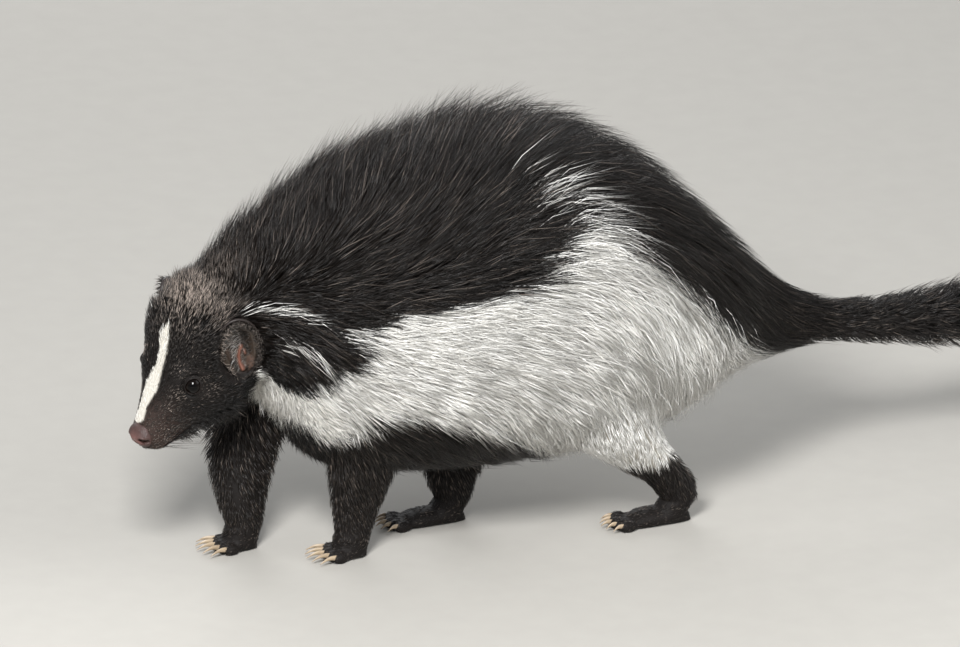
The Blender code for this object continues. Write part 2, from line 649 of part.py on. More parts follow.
def foot(name, kind, rows):
    """A foot flat on the floor: ankle, sole, five toes and five claws."""
    size = FOOT[kind]
    x, y, ankle, wide, long = rows[-1]
    x *= -1 if name.endswith("right") else 1
    heel = y + HEEL_BEHIND
    toes_at = heel - size["sole"]
    angles = np.linspace(0, 2 * np.pi, LIMB_AROUND, endpoint=False)
    rings = []
    for share in (0.0, 0.5, 1.0):
        z = ankle - GAP / 2 - share * (ankle - 4)
        ahead = -share * size["sole"] * 0.16
        rings.append([(x + wide * math.cos(a), y + ahead + long * math.sin(a), z) for a in angles])
    body = loft(name, rings)

    sole = []
    for t in (0.0, 0.1, 0.4, 0.75, 0.94, 1.0):
        wide = size["heel"] + (size["wide"] - size["heel"]) * t
        swell_out = math.sqrt(max(0.05, 1 - abs(2 * t - 1) ** 3.4))
        high = INSTEP * (1 - 0.25 * t) * swell_out
        sole.append([(x + wide * swell_out * math.cos(a), heel + (toes_at - 3 - heel) * t,
                      -FLAT_CUT + high * (1 + math.sin(a)) / 2 * 1.25)
                     for a in np.linspace(0, 2 * math.pi, SOLE_AROUND, endpoint=False)])
    parts = [loft("sole", sole)]
    for i in range(TOES):
        across = (i - (TOES - 1) / 2) / ((TOES - 1) / 2)
        turn = math.radians(size["spread"] * across)
        direction = Vector((math.sin(turn), -math.cos(turn), 0))
        root = Vector((x + across * size["wide"] * 0.74, toes_at - 0.5 + 3.2 * abs(across) ** 1.6,
                       TOE_RADIUS - FLAT_CUT * 0.6))
        middle = root + direction * size["toe"] * 0.5
        toe_size = (TOE_RADIUS * 0.86, TOE_RADIUS, size["toe"] * 0.62)
        parts.append(ellipsoid("toe", middle, toe_size, TOE_FACETS, facing(direction)))
        tip = root + direction * size["toe"] * 0.86 + Vector((0, 0, 0.7))
        parts.append(claw(tip, direction, size["claw"], CLAW_RADIUS))
    joined = boolean(body, parts, "UNION")
    below = box("below", (x - 60, y - 90, -20), (x + 60, y + 60, 0))
    return keep_largest(boolean(joined, [below], "DIFFERENCE"))


def box(name, low, high):
    """A box between two corners."""
    bm = bmesh.new()
    bmesh.ops.create_cube(bm, size=1.0)
    low, high = Vector(low), Vector(high)
    matrix = Matrix.Translation((low + high) / 2) @ Matrix.Diagonal((*(high - low), 1))
    bmesh.ops.transform(bm, matrix=Matrix.Scale(MM, 4) @ matrix, verts=bm.verts)
    mesh = bpy.data.meshes.new(name)
    bm.to_mesh(mesh)
    bm.free()
    obj = bpy.data.objects.new(name, mesh)
    bpy.context.scene.collection.objects.link(obj)
    return obj


def finish(obj, colour, roughness, collection):
    """Names the node's material, moves it to the part's frame and puts it in its collection."""
    shift = Vector((-MIDDLE[0] * MM, -MIDDLE[1] * MM, 0))
    obj.data.transform(Matrix.Translation(shift))
    material = bpy.data.materials.new(obj.name)
    material.use_nodes = True
    shader = material.node_tree.nodes["Principled BSDF"]
    shader.inputs["Base Color"].default_value = (*colour, 1)
    shader.inputs["Roughness"].default_value = roughness
    obj.data.materials.clear()
    obj.data.materials.append(material)
    obj.data.shade_flat()
    for user in list(obj.users_collection):
        user.objects.unlink(obj)
    collection.objects.link(obj)


# Lengths of the tube that are nodes: from, to and the spacing of their rings. Where two meet, the
# one in NEXT_TO is whole and the other gives way to it.
LENGTH_OF = {
    "neck": (HEAD_END + GAP, along_at(-26), 9.0),
    "torso": (along_at(-26) + GAP, along_at(206), 23.0),
    "tail_base": (along_at(206) + GAP, along_at(290), 14.0),
    "tail_middle": (along_at(290) + GAP, along_at(382), 18.0),
    "tail_tip": (along_at(382) + GAP, TAIL_END - TAIL_HAIR, 14.0),
}
NEXT_TO = {
    "torso": [],
    "neck": ["torso"],
    "tail_base": ["torso"],
    "tail_middle": ["tail_base"],
    "tail_tip": ["tail_middle"],
}


def main():
    """Builds every node of the animal in one collection."""
    for obj in list(bpy.data.objects):
        bpy.data.objects.remove(obj)
    skunk = bpy.data.collections.new("striped_skunk")
    bpy.context.scene.collection.children.link(skunk)

    made = {}
    for side, word in ((1, "left"), (-1, "right")):
        made[f"eye_{word}"] = (eyeball(side), EYE_DARK, EYE_ROUGH)
        made[f"ear_{word}"] = (ear(side), SKIN, SKIN_ROUGH)
    made["nose"] = (nose(), SKIN, SKIN_ROUGH)
    for kind, limbs in (("front", FRONT_LIMB), ("hind", HIND_LIMB)):
        for word, rows in limbs.items():
            leg_name, foot_name = f"{kind}_leg_{word}", f"{kind}_foot_{word}"
            made[leg_name] = (limb(leg_name, rows), DARK_FUR, FUR_ROUGH)
            made[foot_name] = (foot(foot_name, kind, rows), DARK_FUR, FUR_ROUGH)

    head = head_solid()
    head = boolean(head, [eyelids(1), eyelids(-1),
                          tube_along("lips", mouth_path(-0.3), LIP_RADIUS)], "UNION")
    rooms = [eyeball(1, GAP), eyeball(-1, GAP), nose_pad(GAP), ear_bowl(1, GAP), ear_bowl(-1, GAP),
             mouth_blade()]
    head = keep_largest(boolean(head, rooms, "DIFFERENCE"))
    made["head"] = (head, DARK_FUR, FUR_ROUGH)

    legs = [made[f"{kind}_leg_{word}"][0] for kind in ("front", "hind") for word in ("left", "right")]
    plans = {name: lock_plan(name, LENGTH_OF[name][1]) for name in LENGTH_OF}
    order = ["torso", "neck", "tail_base", "tail_middle", "tail_tip"]
    for name in order:
        start, end, spacing = LENGTH_OF[name]
        core = tube_piece(name, start, end, spacing)
        locks = [lock(*row) for row in plans[name]]
        piece = boolean(core, locks, "UNION", "MANIFOLD")
        rooms = []
        if name in ("neck", "torso"):
            rooms += [grown(leg) for leg in legs] + [ear_bowl(1, GAP), ear_bowl(-1, GAP)]
        for other in NEXT_TO[name]:
            first, last, spacing = LENGTH_OF[other]
            rooms.append(tube_piece("room", first - GAP, last + GAP, spacing, grow=GAP))
            rooms += [lock(*row, room=LOCK_ROOM) for row in plans[other]
                      if row[0] + row[2] > start - 4 and row[0] < end + MAX_OVERHANG + 4]
        piece = keep_largest(boolean(piece, rooms, "DIFFERENCE", "MANIFOLD"))
        made[name] = (piece, DARK_FUR, FUR_ROUGH)

    for name, (obj, colour, roughness) in made.items():
        obj.name = name
        finish(obj, colour, roughness, skunk)


main()
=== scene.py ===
import math

import bpy
import numpy as np
from mathutils import Matrix, Vector
from mathutils.kdtree import KDTree


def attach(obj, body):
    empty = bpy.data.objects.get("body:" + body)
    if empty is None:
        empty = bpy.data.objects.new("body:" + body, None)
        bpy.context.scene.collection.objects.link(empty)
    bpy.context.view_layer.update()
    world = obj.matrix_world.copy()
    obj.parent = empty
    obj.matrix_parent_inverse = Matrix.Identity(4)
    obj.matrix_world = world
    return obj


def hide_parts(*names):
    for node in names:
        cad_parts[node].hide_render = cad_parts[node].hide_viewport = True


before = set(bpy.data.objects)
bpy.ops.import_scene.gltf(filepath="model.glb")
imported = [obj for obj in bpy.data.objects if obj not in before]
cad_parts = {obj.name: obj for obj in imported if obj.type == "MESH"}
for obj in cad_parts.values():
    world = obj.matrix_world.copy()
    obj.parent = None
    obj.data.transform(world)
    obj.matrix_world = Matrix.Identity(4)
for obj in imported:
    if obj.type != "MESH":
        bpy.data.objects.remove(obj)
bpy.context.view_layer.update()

# ---------------------------------------------------------------- skin of the head and trunk
# One skin runs from the muzzle to the tail's tip, as a taxidermist draws it over the form. It is
# thin dry hide under the coat, dark where the hair is dark and pale under the white bands.
# Lengths are millimetres from the animal's own measures: x left, y back, z up from the ground.
MM = 0.001
SIDES = {"left": 1, "right": -1}
MIDDLE_Y = 175.0  # the y that lies over the origin of the frame
NOSE_TIP = (18.0, -120.5, 78.0)
HEAD_TURN = (38.0, 8.0, 15.0)  # nose down, crown to the left, face to the left
HEAD_SCALE = 1.05
FULLNESS = 2.25  # 2 makes the sections ellipses
SKIN_SHARE = 0.3  # how much of the coat's depth lies under the skin's surface
TINY = 1e-9  # keeps a vector without length from dividing by nothing

# back from the nose, centre height, half width, up, down
HEAD_ROWS = np.array([
    (5.2, -0.6, 5.4, 4.8, 5.6), (8.2, -0.8, 7.4, 7.2, 7.8), (14, -0.4, 9.4, 10.4, 11.6),
    (22, 0.6, 12.6, 14.4, 14.8), (31, 2.2, 17.6, 18.6, 17.8), (40, 4.6, 22.6, 23.2, 21),
    (50, 7.4, 26, 27.4, 24.8), (60, 9.6, 28, 29.4, 27.8), (70, 11.4, 29.5, 29.5, 31)])
# x, y, z, tilt, turn, half width, up, down, then the coat's depth above, at the side and below
BODY_ROWS = np.array([
    (5.5, -50, 132, 22, 9, 34, 36, 48, 13, 12, 20), (3.5, -26, 122, 8, 5, 43, 56, 56, 26, 13, 13),
    (1, 2, 119, 2, 2, 50, 68, 62, 37, 15, 12), (0, 42, 120, 0, 0, 58, 73, 66, 42, 16, 13),
    (0, 90, 122, 0, 0, 62, 77, 66, 43, 18, 16), (0, 135, 122, 0, 0, 61, 69, 61, 40, 20, 19),
    (-1, 168, 118, -4, 1, 53, 53, 50, 36, 22, 21), (-2, 196, 111, -10, 4, 39, 34, 37, 30, 22, 22),
    (-4, 220, 104, -16, 6, 22, 20, 22, 23, 18, 20), (-6, 244, 97.5, -18, 8, 13, 13, 13, 13, 11, 12),
    (-9, 272, 92, -12, 9, 9, 9, 9, 6, 5, 5), (-15, 318, 85, -9, 10, 7.6, 7.6, 7.6, 7, 7, 7),
    (-25, 364, 78, -8, 13, 6.2, 6.2, 6.2, 14, 14, 14), (-36, 404, 72, -8, 16, 4.6, 4.6, 4.6, 21, 21, 21),
    (-45, 434, 68, -8, 17, 3, 3, 3, 20, 20, 20), (-52, 458, 65, -8, 17, 1.6, 1.6, 1.6, 12, 12, 12),
    (-55, 470, 63.5, -8, 17, 0.8, 0.8, 0.8, 4, 4, 4)])
# Soft swellings of the head: place, reach, height, on both sides.
SWELLINGS = {
    "brow": ((11.5, 34, 22), 8, 2.4), "eye_hollow": ((19, 29, 9), 6, -1.8),
    "cheek": ((25, 48, -4), 13, 3.0), "crown": ((23, 60, 28), 14, 4.2),
    "whisker_pad": ((9, 10.5, -4), 6, 1.9), "chin": ((0, 12, -11.5), 6.5, 1.4)}


def smooth(t):
    t = np.clip(t, 0, 1)
    return t * t * (3 - 2 * t)


def hill(off, wide=1.0):
    """1 where off is 0, and near 0 at twice the width."""
    return np.exp(-((off / wide) ** 2))


def size_of(v):
    return np.linalg.norm(v, axis=-1)


def unit(v, least=0.0):
    return v / (size_of(v)[..., None] + least)


def fuller(t, power=2 / FULLNESS):
    """A sine or cosine swelled, so that a section is fuller than an ellipse."""
    return np.sign(t) * np.abs(t) ** power


def circle(sides):
    return np.linspace(0, 2 * np.pi, sides, endpoint=False)


def read_off(table, at):
    """A table's other columns, read where its first one has these values."""
    return [np.interp(at, table[:, 0], column) for column in table[:, 1:].T]


def off_line(points, line):
    """How far the points lie from a line through these corners."""
    line = np.array(line, float)
    return np.min([size_of(points - a - np.clip((points - a) @ run / (run @ run), 0, 1)[..., None] * run)
                   for a, run in zip(line[:-1], line[1:] - line[:-1])], axis=0)


def spline(at, columns, where):
    at, columns, where = (np.asarray(a, float) for a in (at, columns, where))
    slope = np.gradient(columns, at, axis=0)
    i = np.clip(np.searchsorted(at, where, "right") - 1, 0, len(at) - 2)
    span = (at[i + 1] - at[i])[..., None]
    t = (where - at[i])[..., None] / span
    return ((2 * t**3 - 3 * t**2 + 1) * columns[i] + (t**3 - 2 * t**2 + t) * span * slope[i]
            + (3 * t**2 - 2 * t**3) * columns[i + 1] + (t**3 - t**2) * span * slope[i + 1])


pitch, roll, yaw = (math.radians(a) for a in HEAD_TURN)
HEAD = (Matrix.Translation(NOSE_TIP) @ Matrix.Rotation(yaw, 4, "Z") @ Matrix.Rotation(pitch, 4, "X")
        @ Matrix.Rotation(roll, 4, "Y") @ Matrix.Scale(HEAD_SCALE, 4))
HEAD_TURNED = np.array(HEAD.to_3x3())


def placed(points):
    """From the head's own frame to the animal's."""
    return np.asarray(points) @ HEAD_TURNED.T + np.array(HEAD.translation)


def in_head(points):
    return (np.asarray(points) - np.array(HEAD.translation)) @ np.linalg.inv(HEAD_TURNED).T


def in_frame(points):
    """From millimetres on the animal to metres in the frame."""
    return (np.asarray(points).reshape(-1, 3) - [0, MIDDLE_Y, 0]) * MM


stations = [(*placed((0, back, height)), *HEAD_TURN, *(HEAD_SCALE * size for size in sizes), 0, 0, 0)
            for back, height, *sizes in HEAD_ROWS]
stations = np.array(stations + [(*row[:4], 0, *row[4:]) for row in BODY_ROWS])
lengths = np.concatenate([[0], np.cumsum(size_of(np.diff(stations[:, :3], axis=0)))])
HEAD_END, TAIL_END = lengths[len(HEAD_ROWS) - 1], lengths[-1]


def along_at(y):
    """Length along the trunk where its middle line passes y."""
    return np.interp(y, BODY_ROWS[:, 1], lengths[len(HEAD_ROWS):])


def tube_point(along, angle, share=0.0, grow=0.0):
    """Points round the trunk: angle 0 is the left side and 90 degrees the back line, in radians.
    share is how far out through the coat, and grow is in millimetres."""
    asked = np.broadcast_arrays(along, angle, share, grow)
    along, angle, share, grow = (a.astype(float).ravel() for a in asked)
    past = np.maximum(along - TAIL_END, 0)
    rows = spline(lengths, stations, np.minimum(along, TAIL_END))
    tilt, lean, turn = np.radians(rows[:, 3:6]).T

    def turned(x, y, z):
        y, z = y * np.cos(tilt) - z * np.sin(tilt), y * np.sin(tilt) + z * np.cos(tilt)
        return np.stack([x * np.cos(turn) - y * np.sin(turn), x * np.sin(turn) + y * np.cos(turn), z], 1)

    left = turned(np.cos(lean), 0 * lean, -np.sin(lean))
    up = turned(np.sin(lean), 0 * lean, np.cos(lean))
    back = turned(0 * tilt, 0 * tilt + 1, 0 * tilt)
    c, s = np.cos(angle), np.sin(angle)
    wide, top, low, coat_up, coat_side, coat_down = rows[:, 6:12].T
    x = fuller(c) * (wide + share * coat_side + grow)
    z = fuller(s) * (np.where(s > 0, top + share * coat_up, low + share * coat_down) + grow)
    points = rows[:, :3] + left * x[:, None] + up * z[:, None] + back * past[:, None]
    return points.reshape(*asked[0].shape, 3)


def swell(points):
    """Moves head points, in the head's frame, by the swellings near them."""
    out = unit((points - [0, 35, 3]) * [1, 0.35, 1], TINY)
    out *= np.clip((HEAD_ROWS[-1, 0] - points[..., 1:2]) / 10, 0, 1)
    moved = points.copy()
    for (x, y, z), reach, height in SWELLINGS.values():
        for side in ((1, -1) if x else (1,)):
            moved += out * (height * hill(size_of(points - [side * x, y, z]), reach))[..., None]
    return moved


def head_section(back, angle):
    centre, wide, up, down = np.moveaxis(spline(HEAD_ROWS[:, 0], HEAD_ROWS[:, 1:], back), -1, 0)
    c, s = np.cos(angle), np.sin(angle)
    return np.stack([fuller(c) * wide, back + 0 * c, centre + fuller(s) * np.where(s > 0, up, down)], -1)


# The nose pad in the head's frame: its middle, its half sizes and those of the hairless place.
NOSE_PAD, NOSE_PAD_SIZE, NOSE_ROOM = np.array([(0, 6.9, 1.5), (7.2, 4.6, 6.1), (7.3, 4.5, 6.2)])
# The left ear's cup in the head's frame: its middle, its half sizes and depth, and the directions
# across it, up it and out of it.
EAR, EAR_SIZE = np.array([27.0, 68.0, 17.2]), np.array([11.5, 18.3, 9.0])
ear_face = unit(np.array([0.84, -0.50, 0.22]))
ear_across = unit(np.cross((0.175, 0.294, 0.94), ear_face))
EAR_BASIS = np.stack([ear_across, np.cross(ear_face, ear_across), ear_face])


def in_ear(points, side):
    """How far out in an ear's cup the points lie, 1 at its rim, and how far over its middle."""
    u, v, w = np.moveaxis((points * [side, 1, 1] - EAR) @ EAR_BASIS.T, -1, 0)
    return np.hypot(u / EAR_SIZE[0], v / EAR_SIZE[1]), w


def make_ear_room(points):
    """Presses the skin in where an ear's cup stands, so that the cup's floor lies over it."""
    for side in (1, -1):
        r, w = in_ear(points, side)
        bowl = -EAR_SIZE[2] * np.sqrt(np.maximum(1 - r**2, 0)) - 0.4
        room = np.where((r < 1) & (w > -14), np.maximum(w - bowl, 0), 0) * smooth((1.02 - r) / 0.12)
        points = points - room[..., None] * (EAR_BASIS[2] * [side, 1, 1])
    return points


# The eye's place on the side of the head, and how its lids lie on it.
EYE_BACK, EYE_ANGLE = 38.6, math.radians(30.6)
EYE_RADIUS, EYE_SUNK = 5.0, 2.7
LID_WAY = np.array([0, 1, 0.35])  # the way along the opening
LID_OPENING = (4.35, 3.7)  # half length and half height of the opening
LID_THICK, LID_ROLL, LID_DROP = 0.5, 0.3, 2.6  # over the ball, at the rolled edge, into the opening
FOLD_OVER, FOLD_UNDER = 0.45, 0.25


def eye_frame(side):
    """Centre of an eyeball, and its lid's length, height and looking directions, in the head's frame."""
    def hide(further=0, higher=0.0):
        return head_section(np.array(EYE_BACK + further), np.array(EYE_ANGLE + higher))

    out = unit(np.cross(hide(0, 0.07) - hide(0, -0.07), hide(2) - hide(-2)))
    out *= 1 if out[0] > 0 else -1
    long_way = unit(LID_WAY - out * (out @ LID_WAY))
    high_way = np.cross(out, long_way)
    high_way *= 1 if high_way[2] > 0 else -1
    return [v * [side, 1, 1] for v in (hide() - out * EYE_SUNK, long_way, high_way, out)]


def in_eye(points, side):
    """Along, up and out from an eyeball's centre, and how far out in its opening, 1 at the edge."""
    centre, *ways = eye_frame(side)
    u, v, w = ((points - centre) @ way for way in ways)
    return u, v, w, np.hypot(u / LID_OPENING[0], v / LID_OPENING[1])


def off_eyes(own):
    return np.minimum(*(size_of(own - eye_frame(side)[0]) for side in (1, -1)))


def shape_lids(points):
    """Draws the skin over each eyeball to a thick-edged almond opening, with a fold over it."""
    for side in (1, -1):
        u, v, w, r = in_eye(points, side)
        over = np.sqrt(np.maximum((EYE_RADIUS + LID_THICK) ** 2 - u**2 - v**2, 0))
        over += LID_ROLL * hill(r - 1.13, 0.12)
        over -= LID_DROP * smooth((1.06 - r) / 0.16)
        keep = smooth((r - 1.12) / 0.6)
        aim = over * (1 - keep) + w * keep
        aim -= FOLD_OVER * hill(r - 1.5, 0.12) * (v > 0) + FOLD_UNDER * hill(r - 1.6, 0.14) * (v < 0)
        points = points + np.where((w > -1) & (r < 2.6), aim - w, 0)[..., None] * eye_frame(side)[3]
    return points


# Mouth line of one side: how far back and how high.
MOUTH_LINE = np.array([(4.4, -5.6), (6.8, -6.6), (9.5, -7.4), (14, -7.6), (20, -6.6), (25.5, -5), (29, -4.2)])


def mouth_gap(points):
    """Height over the mouth line, and how open to it a place is, in the head's frame."""
    back = points[..., 1]
    height = spline(MOUTH_LINE[:, 0], MOUTH_LINE[:, 1:], np.clip(back, *MOUTH_LINE[[0, -1], 0]))[..., 0]
    return points[..., 2] - height, smooth((29.5 - back) / 4)


def shape_mouth(points):
    """Draws in the line between the lips, and swells the lips over and under it."""
    rise, reach = mouth_gap(points)
    lips = 0.55 * hill(rise - 1.4, 0.9) + 0.5 * hill(rise + 1.3, 0.9) - 1.3 * hill(rise, 0.5)
    return points + unit(points * [1, 0, 0.4] + [0, 0, 1.6], 1e-6) * (lips * reach)[..., None]


# Rings of points, closer together round the eyes and the mouth.
AROUND = 208
crowd = np.radians(np.arange(0, 360, 0.5))
weight = np.ones_like(crowd)
for middle, spread, gain in ((38, 13, 2.6), (142, 13, 2.6), (-38, 14, 1.4), (218, 14, 1.4)):
    weight += gain * hill((np.degrees(crowd) - middle + 180) % 360 - 180, spread)
walk = np.concatenate([[0], np.cumsum(weight)])
angles = np.interp(np.linspace(0, walk[-1], AROUND, endpoint=False), walk, np.append(crowd, 2 * np.pi))
MUZZLE, EYES, NAPE = (5.2, 24, 42), (24, 43, 52), (43, 70, 27)  # from, to, rings
head_backs = np.concatenate([np.linspace(*MUZZLE, endpoint=False), np.linspace(*EYES, endpoint=False),
                             np.linspace(*NAPE)])
head_rings = head_section(head_backs[:, None], angles)
muzzle_end = [head_rings[0] * [k, 1, k] - [0, ahead, 0.6 * (1 - k)]
              for k, ahead in ((0.15, 2.0), (0.45, 1.8), (0.72, 1.3), (0.9, 0.6))]
head_rings = np.concatenate([muzzle_end, head_rings])
head_rings = placed(make_ear_room(shape_lids(shape_mouth(swell(head_rings)))))
TRUNK_STEP, RUMP_Y, TAIL_RINGS = 3.2, 206, 70
trunk_places = np.concatenate([np.arange(HEAD_END + 1.5, along_at(RUMP_Y), TRUNK_STEP),
                               np.linspace(along_at(RUMP_Y), TAIL_END, TAIL_RINGS)])
trunk_rings = placed(make_ear_room(in_head(tube_point(trunk_places[:, None], angles, SKIN_SHARE))))
rings = np.concatenate([head_rings, trunk_rings])


def added(name, data):
    """A new object in the scene, of a mesh, a lamp or a camera."""
    made = bpy.data.objects.new(name, data)
    bpy.context.scene.collection.objects.link(made)
    return made


def animal_mesh(name, points, faces):
    """A smooth mesh object from points in millimetres on the animal, its place in the mesh."""
    mesh = bpy.data.meshes.new(name)
    mesh.from_pydata(in_frame(points).tolist(), [], faces, shade_flat=False)
    return added(name, mesh)


def ring_faces(count, sides):
    """Quads between rings and a many-sided face at each end, facing out for rings that run back."""
    i = np.arange(sides)
    j = (i + 1) % sides
    quads = [np.stack([r + i, r + sides + i, r + sides + j, r + j], 1) for r in sides * np.arange(count - 1)]
    return [*np.concatenate(quads).tolist(), i.tolist(), ((count - 1) * sides + i)[::-1].tolist()]


skin = animal_mesh("skin", rings, ring_faces(len(rings), AROUND))

# ---------------------------------------------------------------- skin of the legs and feet
# The legs are drawn in the same way and joined to the skin: an upper leg that sinks into the
# trunk, a flat sole and five toes a foot. Their forms are fused, then smoothed as one hide.
# From the top down: how far out, y, z, half width, half length.
LIMBS = {
    ("front", "left"): [(33, -2, 100, 16, 24), (33, 4, 84, 17, 21), (28, 7, 63, 14.5, 18.5),
                        (22, 6, 42, 11.5, 15), (18.5, 5, 25, 9.6, 11.5), (18, 4, 15, 8.8, 9.8)],
    ("front", "right"): [(33, -12, 100, 16, 24), (31, -26, 84, 17, 22), (25, -41, 63, 14.5, 19),
                         (18, -47, 42, 11.5, 15.5), (14.5, -48, 25, 9.6, 12), (14, -47, 15, 8.8, 9.8)],
    ("hind", "left"): [(38, 146, 104, 20, 32), (42, 140, 86, 20, 29), (41, 143, 64, 17, 24),
                       (34, 163, 42, 12.5, 17), (28, 182, 24, 9.5, 12), (26, 187, 14, 8.8, 9.8)],
    ("hind", "right"): [(38, 138, 104, 20, 32), (40, 118, 86, 20, 29), (34, 96, 64, 17, 25),
                        (24, 80, 43, 13.5, 20), (17, 73, 26, 10, 14), (15.5, 73, 14, 9, 10)]}
FOOT = {"front": {"sole": 16.0, "wide": 10.5, "heel": 7.4, "toe": 8.0, "claw": 10.5, "spread": 14.0},
        "hind": {"sole": 37.0, "wide": 10.5, "heel": 7.2, "toe": 8.5, "claw": 6.5, "spread": 10.0}}
HEEL_BEHIND, TOES, TOE_RADIUS, INSTEP, FLAT_CUT = 7.0, 5, 3.3, 9.5, 1.0
LEG_AROUND, SOLE_AROUND = 28, 24


def toe_roots(kind, side, ankle):
    """Root and direction of each toe of a foot."""
    size = FOOT[kind]
    toes_at = ankle[1] + HEEL_BEHIND - size["sole"]
    for i in range(TOES):
        across = (i - (TOES - 1) / 2) / ((TOES - 1) / 2)
        turn = math.radians(size["spread"] * across)
        root = np.array([side * ankle[0] + across * size["wide"] * 0.74,
                         toes_at - 0.5 + 3.2 * abs(across) ** 1.6, TOE_RADIUS - FLAT_CUT * 0.6])
        yield root, np.array([math.sin(turn), -math.cos(turn), 0.0])


leg_forms = []
for (kind, word), rows in LIMBS.items():
    side, rows, size = SIDES[word], np.array(rows, float), FOOT[kind]
    down = rows[0, 2] - rows[:, 2]
    out, y, ankle, *thick = rows[-1]
    foot_rows = [(out, y - t * size["sole"] * 0.16, ankle - t * (ankle - 4), *thick) for t in (0.35, 0.7, 1)]
    a = circle(LEG_AROUND)
    leg_rings = [np.stack([side * r[0] + r[3] * np.cos(a), r[1] + r[4] * np.sin(a), r[2] + 0 * a], 1)
                 for r in (*spline(down, rows, np.linspace(0, down[-1], 26)), *foot_rows)]
    leg_forms.append(animal_mesh("leg", leg_rings, ring_faces(len(leg_rings), LEG_AROUND)))
    heel, toes_at = y + HEEL_BEHIND, y + HEEL_BEHIND - size["sole"]
    a = circle(SOLE_AROUND)
    sole = []
    for t in np.concatenate([[0.0, 0.02, 0.05], np.linspace(0.1, 0.92, 10), [0.96, 0.99, 1.0]]):
        wide = size["heel"] + (size["wide"] - size["heel"]) * t
        full = math.sqrt(max(0.02, 1 - abs(2 * t - 1) ** 3.4))
        sole.append(np.stack([side * out + wide * full * np.cos(a), heel + (toes_at - 3 - heel) * t + 0 * a,
                              -FLAT_CUT + INSTEP * (1 - 0.25 * t) * full * (1 + np.sin(a)) / 2 * 1.25], 1))
    leg_forms.append(animal_mesh("sole", sole[::-1], ring_faces(len(sole), SOLE_AROUND)))
    for root, ahead in toe_roots(kind, side, rows[-1]):
        bpy.ops.mesh.primitive_uv_sphere_add(
            segments=16, ring_count=10, radius=1, location=in_frame(root + ahead * size["toe"] * 0.5)[0],
            rotation=(0, 0, math.atan2(ahead[0], -ahead[1])),
            scale=Vector((TOE_RADIUS * 0.86, size["toe"] * 0.62, TOE_RADIUS)) * MM)
        leg_forms.append(bpy.context.object)


def join(pieces):
    bpy.ops.object.select_all(action="DESELECT")
    for piece in pieces:
        piece.select_set(True)
    bpy.context.view_layer.objects.active = pieces[0]
    bpy.ops.object.join()
    bpy.ops.object.transform_apply(location=True, rotation=True, scale=True)
    return pieces[0]


def rows_of(items, name, kind=float):
    """What the vertices or triangles of a mesh say, three numbers in a row."""
    values = np.empty(len(items) * 3, kind)
    items.foreach_get(name, values)
    return values.reshape(-1, 3)


legs = join(leg_forms)
fuse = legs.modifiers.new("fuse", "REMESH")
fuse.mode = "VOXEL"
fuse.voxel_size = 1.15 * MM
soften = legs.modifiers.new("soften", "SMOOTH")
soften.factor = 0.5
soften.iterations = 3
for modifier in ("fuse", "soften"):
    bpy.ops.object.modifier_apply(modifier=modifier)
on_floor = np.maximum(rows_of(legs.data.vertices, "co"), [-np.inf, -np.inf, 0])
legs.data.vertices.foreach_set("co", on_floor.ravel())

# ---------------------------------------------------------------- markings
# The coat is black-brown with a thin white blaze down the face and a broad white band that starts
# under the ear, widens along the flank and covers the haunch. Hide and hair share these marks.
# The band's upper and lower edges: y, height, softness of the edge.
BAND_TOP = np.array([
    (-66, 128, 4), (-57, 123, 4), (-50, 116, 4), (-43, 107, 4), (-36, 104, 4), (-30, 105, 4), (-25, 108, 4),
    (-20, 112, 5), (-12, 116, 5), (-3, 119, 6), (1, 126, 7), (5, 136, 8), (9, 143, 8), (22, 149, 7),
    (44, 153, 7), (67, 157, 8), (100, 159, 12), (117, 172, 18), (126, 188, 20), (134, 192, 22),
    (155, 166, 26), (175, 146, 26), (199, 122, 24), (230, 93, 18), (252, 79, 10)])
BAND_LOW = np.array([
    (-66, 100, 4), (-50, 86, 5), (-38, 76, 5), (-28, 70, 6), (-18, 74, 6), (-10, 76, 6), (0, 81, 7),
    (11, 86, 8), (23, 88, 8), (40, 82, 9), (57, 76, 10), (83, 66, 10), (100, 56, 10), (115, 46, 10),
    (130, 40, 10), (165, 38, 10), (200, 48, 10), (230, 70, 10), (252, 78, 8)])
# y, and how far from the middle line the band lies.
BAND_INNER = np.array([(-30, -8), (-16, 0), (-4, 19), (60, 22), (150, 16), (200, 8), (250, 2)])
BAND_START = np.array([(-4, 65.3), (8, 69.5)])  # height, and how far back it starts, in the head's frame
BAND_END = 256  # y
# Paler streaks: points, reach and how many of their hairs are white.
STREAKS = [(((44, 91, 227), (47, 102, 224), (54, 112, 216)), 8, 0.2),
           (((55, 112, 215), (58, 126, 207), (62, 137, 198), (68, 144, 183), (72, 152, 170)), 15, 0.4),
           (((41, -62, 156), (44, -54, 159), (49, -46, 158), (53, -35, 154), (58, -23, 147)), 3.0, 0.7),
           (((51, -42, 134), (54, -34, 132), (57, -27, 127), (59, -21, 120)), 2.6, 0.6),
           (((63, -4, 139), (67, 6, 137)), 7, 0.5)]
# The blaze, in the head's frame: back, sideways middle, half width.
BLAZE = np.array([
    (9.6, -3.0, 0.2), (10.8, -2.8, 2.8), (12, -2.4, 3.6), (18.5, -3.0, 3.3), (23, -2.3, 4.2), (27, -1.3, 4.8),
    (31, -0.4, 3.8), (36, 0.6, 2.6), (43, 0.1, 2.8), (48, -2.0, 3.6), (51.5, -2.6, 2.6), (54, -2.6, 1.0),
    (57, -2.6, -0.9)])


